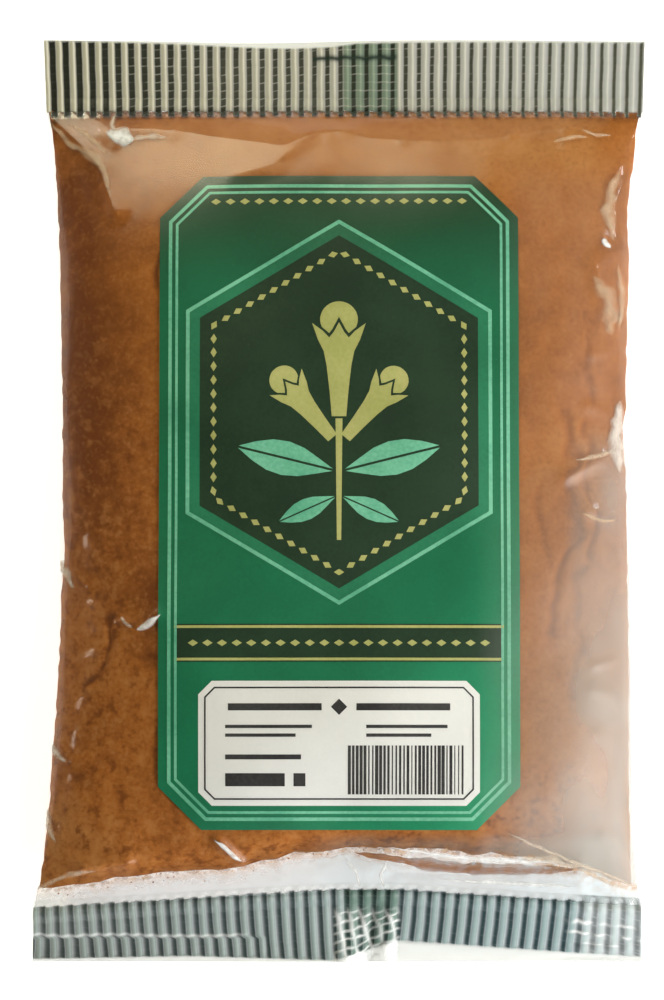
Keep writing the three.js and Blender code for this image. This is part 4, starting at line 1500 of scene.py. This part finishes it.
INKS["beads"], INKS["bars"] = INKS["gold"], INKS["rules"]
lay = lay_tree()
for key, piece in prints.items():
    run_nodes(piece, lay, film=film, material=INKS[key])

# %% [markdown]
# ## Painted crease highlights
#
# Thin pale lines along the film's creases and folds are painted highlights: white where a fold catches the
# light sharply, cream where it catches it softly over the powder. The film's grid is too coarse for lines
# this thin, so they are a piece of their own: tapered ribbons with a stored share of painted highlight that
# fades to nothing at their rims, laid on the film by the same tree as the print.

# %% Painted crease highlights
# half width, share of painted highlight, then the line's points
CREASE_HIGHLIGHTS = [
    (1.2, 1.0, [(-44.6, 68.4), (-41.8, 68.2), (-39, 67.6)]),
    (0.5, 0.5, [(-40, 67.8), (-36, 68.2), (-32.5, 67.9)]),
    (0.6, 0.35, [(-55.5, 72), (-51.5, 66.8), (-46.5, 63.8), (-44.2, 60.5), (-43.4, 56)]),
    (0.5, 0.3, [(-51, 70.6), (-46.5, 67), (-44.4, 64.6)]),
    (0.35, 0.5, [(-43, 73), (-43.6, 70.6), (-42.4, 69)]),
    (0.35, 0.45, [(45.5, 69.6), (48.5, 68.4), (51.4, 68.6)]),
    (0.3, 0.4, [(40, 66.9), (44.5, 68.3), (47, 68)]), (0.9, 0.4, [(52.6, 62), (50.4, 55), (51.6, 48)]),
    (0.7, 0.95, [(49.6, 48.6), (50.6, 46.4)]), (1.5, 0.3, [(47.2, 41), (50.2, 36.6), (51.2, 30)]),
    (0.5, 0.3, [(52.2, 44), (53.2, 38), (52.6, 31)]), (1.3, 0.55, [(53, 18), (52.2, 11), (52.4, 4)]),
    (0.35, 0.45, [(43.6, 6.2), (47.4, 7), (52, 8.6)]), (0.3, 0.35, [(44.6, -3.6), (49, -5), (52, -4.6)]),
    (0.6, 0.5, [(-53.4, -12), (-51.6, -14.6), (-50, -17.6)]),
    (0.45, 0.75, [(-38, -25.6), (-36, -25), (-33.4, -22.6)]),
    (0.35, 0.5, [(-41, -23), (-39.8, -24.6), (-38.6, -25.2)]),
    (0.5, 0.5, [(-55, -46), (-53, -48.6), (-51, -50)]),
    (0.6, 0.45, [(-55.6, -58.6), (-54.8, -62), (-53.2, -65)]),
    (0.42, 0.95, [(-23.6, -64.2), (-21.6, -65.7), (-20, -67.3), (-18.4, -68.5)]),
    (0.4, 0.45, [(-57, -73.9), (-54.4, -72.3), (-50.6, -70.8), (-45.4, -70.2)]),
    (0.4, 0.75, [(8, -65.6), (13, -66.3), (24.4, -67.9), (34, -68.3), (43, -68.7)]),
    (0.6, 0.5, [(33, -67.5), (38, -68.1), (44.5, -69.3)]),
    (0.3, 0.5, [(30.6, -63), (38.5, -66.6), (49, -70.7), (56, -73.6)]),
    (0.3, 0.45, [(44, -69.6), (49, -72), (54, -73.8)]), (0.3, 0.7, [(18, -71.8), (30, -72.4), (44, -73.2)]),
    (0.25, 0.7, [(0.5, -67.5), (3, -70.5), (3.4, -73.4)]), (0.25, 0.7, [(8.6, -68), (7.4, -71), (8, -73.4)]),
]
# Painted highlight colours: cream where a fold catches the light softly, white where sharply.
CREAM_HIGHLIGHT, WHITE_HIGHLIGHT = (0.74, 0.56, 0.38), (0.86, 0.87, 0.86)
RIBBON_POINTS = 7  # across each crease
CREASE_STEP = 0.35


def highlight_ribbon(half, white, line):
    """One ribbon as a flat shape, with the share of painted highlight at each of its points."""
    line = np.array(line, float)
    walked = np.concatenate([[0], np.cumsum(np.hypot(*np.diff(line, axis=0).T))])
    count = max(8, int(walked[-1] / CREASE_STEP))
    share, across = np.linspace(0, 1, count), np.linspace(-1, 1, RIBBON_POINTS)
    x, y = (np.interp(share * walked[-1], walked, line[:, axis]) for axis in (0, 1))
    for _ in range(3):  # soften the line's corners
        x[1:-1], y[1:-1] = (np.convolve(v, [0.25, 0.5, 0.25], "valid") for v in (x, y))
    sway = 0.5 * half * noise(x, y, 1.8, 71)
    side = np.stack([-np.gradient(y), np.gradient(x)], -1)
    side = side / np.hypot(*side.T)[:, None]
    taper = np.sin(np.pi * share) ** 0.7
    half_widths = 1.35 * half * (0.1 + taper) * (1 + 0.4 * noise(x, y, 1.3, 72))
    reach = half_widths[:, None] * across + sway[:, None]
    points = np.stack([x, y], -1)[:, None] + reach[..., None] * side[:, None]
    highlight_share = white * np.minimum(1, 1.6 * taper)[:, None] * (1 - across ** 2) ** 1.5
    return (points.reshape(-1, 2), turned_over(grid_faces(count, RIBBON_POINTS))), highlight_share.ravel()


def highlight_ribbons():
    ribbons, highlight_share = zip(*(highlight_ribbon(*crease) for crease in CREASE_HIGHLIGHTS))
    piece = artwork("creases", ribbons, LEVELS["crease"])
    store(piece, "white", np.concatenate(highlight_share))
    hardness = [np.full(len(values), white) for values, (_, white, _) in zip(highlight_share, CREASE_HIGHLIGHTS)]
    store(piece, "hard", np.concatenate(hardness))
    return piece


def crease_highlight_material():
    material, tree = new_material("whitened crease")
    # A painted highlight, white or cream, with the film clear around it.
    colour = mix_colours(tree, remap(tree, stored(tree, "hard"), 0.35, 0.7), CREAM_HIGHLIGHT, WHITE_HIGHLIGHT)
    white = times(tree, stored(tree, "white"), remap(tree, noise_of(tree, 600.0), 0.35, 0.6, 0.6, 1.0))
    clear = place(tree, "ShaderNodeBsdfTransparent", {"Color": (1, 1, 1, 1)}).outputs[0]
    dull = principled(tree, Base_Color=colour, Roughness=0.5, Specular_IOR_Level=0.3)
    surface(tree, mix_shaders(tree, white, clear, dull))
    return material


creases = highlight_ribbons()
run_nodes(creases, lay, film=film, material=crease_highlight_material())

# %% [markdown]
# ## Floor, light and camera
#
# A white floor, one large soft light from the right and one behind the pack's top, and a camera that looks
# down on the pack from a little towards its bottom seal. The long side of the picture is its height. Three
# small lamps give the film's folds their sharp sparkles, and the room is brighter near its floor and at its
# right, so that a film that faces sideways has something to reflect.

# %% Stage
PICTURE = (664, 1000)
PIXELS_PER_MM = 5.295
CAMERA_DISTANCE = 600
CAMERA_TILT = 4.5  # degrees from straight down
PACK_CENTRE_PIXEL = (341, 496.5)


def add_floor(half_size_m=3.0):
    mesh = bpy.data.meshes.new("floor")
    corners = [(x * half_size_m, y * half_size_m, 0) for x, y in ((-1, -1), (1, -1), (1, 1), (-1, 1))]
    mesh.from_pydata(corners, [], [(0, 1, 2, 3)])
    floor = add_object("floor", mesh)
    material, tree = new_material("floor")
    surface(tree, principled(tree, Base_Color=(0.9, 0.9, 0.9, 1), Roughness=0.8, Specular_IOR_Level=0.0,
                             Emission_Color=(1, 1, 1, 1), Emission_Strength=0.72))
    mesh.materials.append(material)


def add_area_light(name, place_m, size, watts, colour=(1, 1, 1), fade=None, target=(0, 0, 0.01)):
    """A soft box. `fade` gives its brightness as pairs (share of its width or height, brightness) to smooth
    between, first across and then up, because a real diffuser is brightest near its lamp."""
    data = bpy.data.lights.new(name, "AREA")
    data.shape, data.size, data.size_y, data.energy, data.color = "RECTANGLE", *size, watts, colour
    light = add_object(name, data)
    light.location = place_m
    light.rotation_euler = (Vector(target) - Vector(place_m)).to_track_quat("-Z", "Y").to_euler()
    if fade:
        data.use_nodes = True
        tree = data.node_tree
        on_box = place(tree, "ShaderNodeNewGeometry").outputs["Parametric"]
        spot = place(tree, "ShaderNodeSeparateXYZ", {0: on_box}).outputs
        strength = 1.0
        for axis, steps in zip("XY", fade):
            for (a, low), (b, high) in zip(steps, steps[1:]):
                strength = times(tree, strength, remap(tree, spot[axis], a, b, low, high))
        tree.links.new(strength, tree.nodes["Emission"].inputs["Strength"])


def add_camera():
    data = bpy.data.cameras.new("camera")
    data.sensor_width = 36
    data.lens = data.sensor_width * CAMERA_DISTANCE * PIXELS_PER_MM / PICTURE[1]
    camera = add_object("camera", data)
    aside = (PICTURE[0] / 2 - PACK_CENTRE_PIXEL[0]) / PIXELS_PER_MM
    ahead = (PACK_CENTRE_PIXEL[1] - PICTURE[1] / 2) / PIXELS_PER_MM
    tilt = math.radians(CAMERA_TILT)
    back = Vector((0, -math.sin(tilt), math.cos(tilt)))
    aim = Vector((aside, ahead, SIDE_HEIGHT))
    camera.location = (aim + back * CAMERA_DISTANCE) * MM
    camera.rotation_euler = (tilt, 0, 0)
    bpy.context.scene.camera = camera


def add_room():
    world = bpy.data.worlds.new("studio")
    world.use_nodes = True
    tree = world.node_tree
    direction = place(tree, "ShaderNodeTexCoord").outputs["Generated"]
    towards = place(tree, "ShaderNodeSeparateXYZ", {0: direction}).outputs
    height = remap(tree, towards["Z"], 0.0, 0.55, 0.6, 0.06)
    brightness = times(tree, height, remap(tree, towards["X"], -0.6, 0.7, 0.45, 1.15))
    brightness = times(tree, brightness, remap(tree, towards["Z"], 0.0, 0.2, 1.5, 1.0))
    background = tree.nodes["Background"].inputs
    tree.links.new(brightness, background["Strength"])
    background["Color"].default_value = (1, 1, 1, 1)
    bpy.context.scene.world = world


add_floor()
add_area_light("key softbox", (0.453, -0.231, 0.318), (0.75, 0.69), 21.5, (1, 0.98, 0.95),
               fade=([(0.0, 0.0), (0.3, 1.0), (1.0, 0.0)], [(0.0, 0.1), (0.35, 1.0), (1.0, 0.0)]))
add_area_light("top softbox", (-0.16, 0.55, 0.42), (0.70, 0.40), 5.4, (1, 0.94, 0.66),
               fade=([(0.0, 0.15), (0.45, 1.0), (1.0, 1.0)], [(0.0, 1.0), (0.5, 1.0), (1.0, 0.0)]))
add_area_light("right lamp", (0.62, 0.22, 0.36), (0.05, 0.05), 0.15)
add_area_light("top lamp", (-0.30, 0.60, 0.30), (0.05, 0.05), 0.35)
add_area_light("left lamp", (-0.60, -0.05, 0.33), (0.06, 0.06), 0.10, (1, 0.85, 0.66))
add_camera()
add_room()
bpy.context.scene.view_settings.view_transform = "Standard"

# %% [markdown]
# ## Joining the pieces to the model
#
# Every piece rides on the model's one body. Together they stand for its solid `bag`.

# %% Ride and replace
SLOTS = {
    film: "film", creases: "film", powder: "powder", powder_strip: "powder", crumbs: "powder",
    top_seal: "seal", bottom_seal: "seal", fin_seam: "seal", **{piece: "print" for piece in prints.values()},
}
for piece, slot in SLOTS.items():
    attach(piece, "root")
    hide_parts("bag")
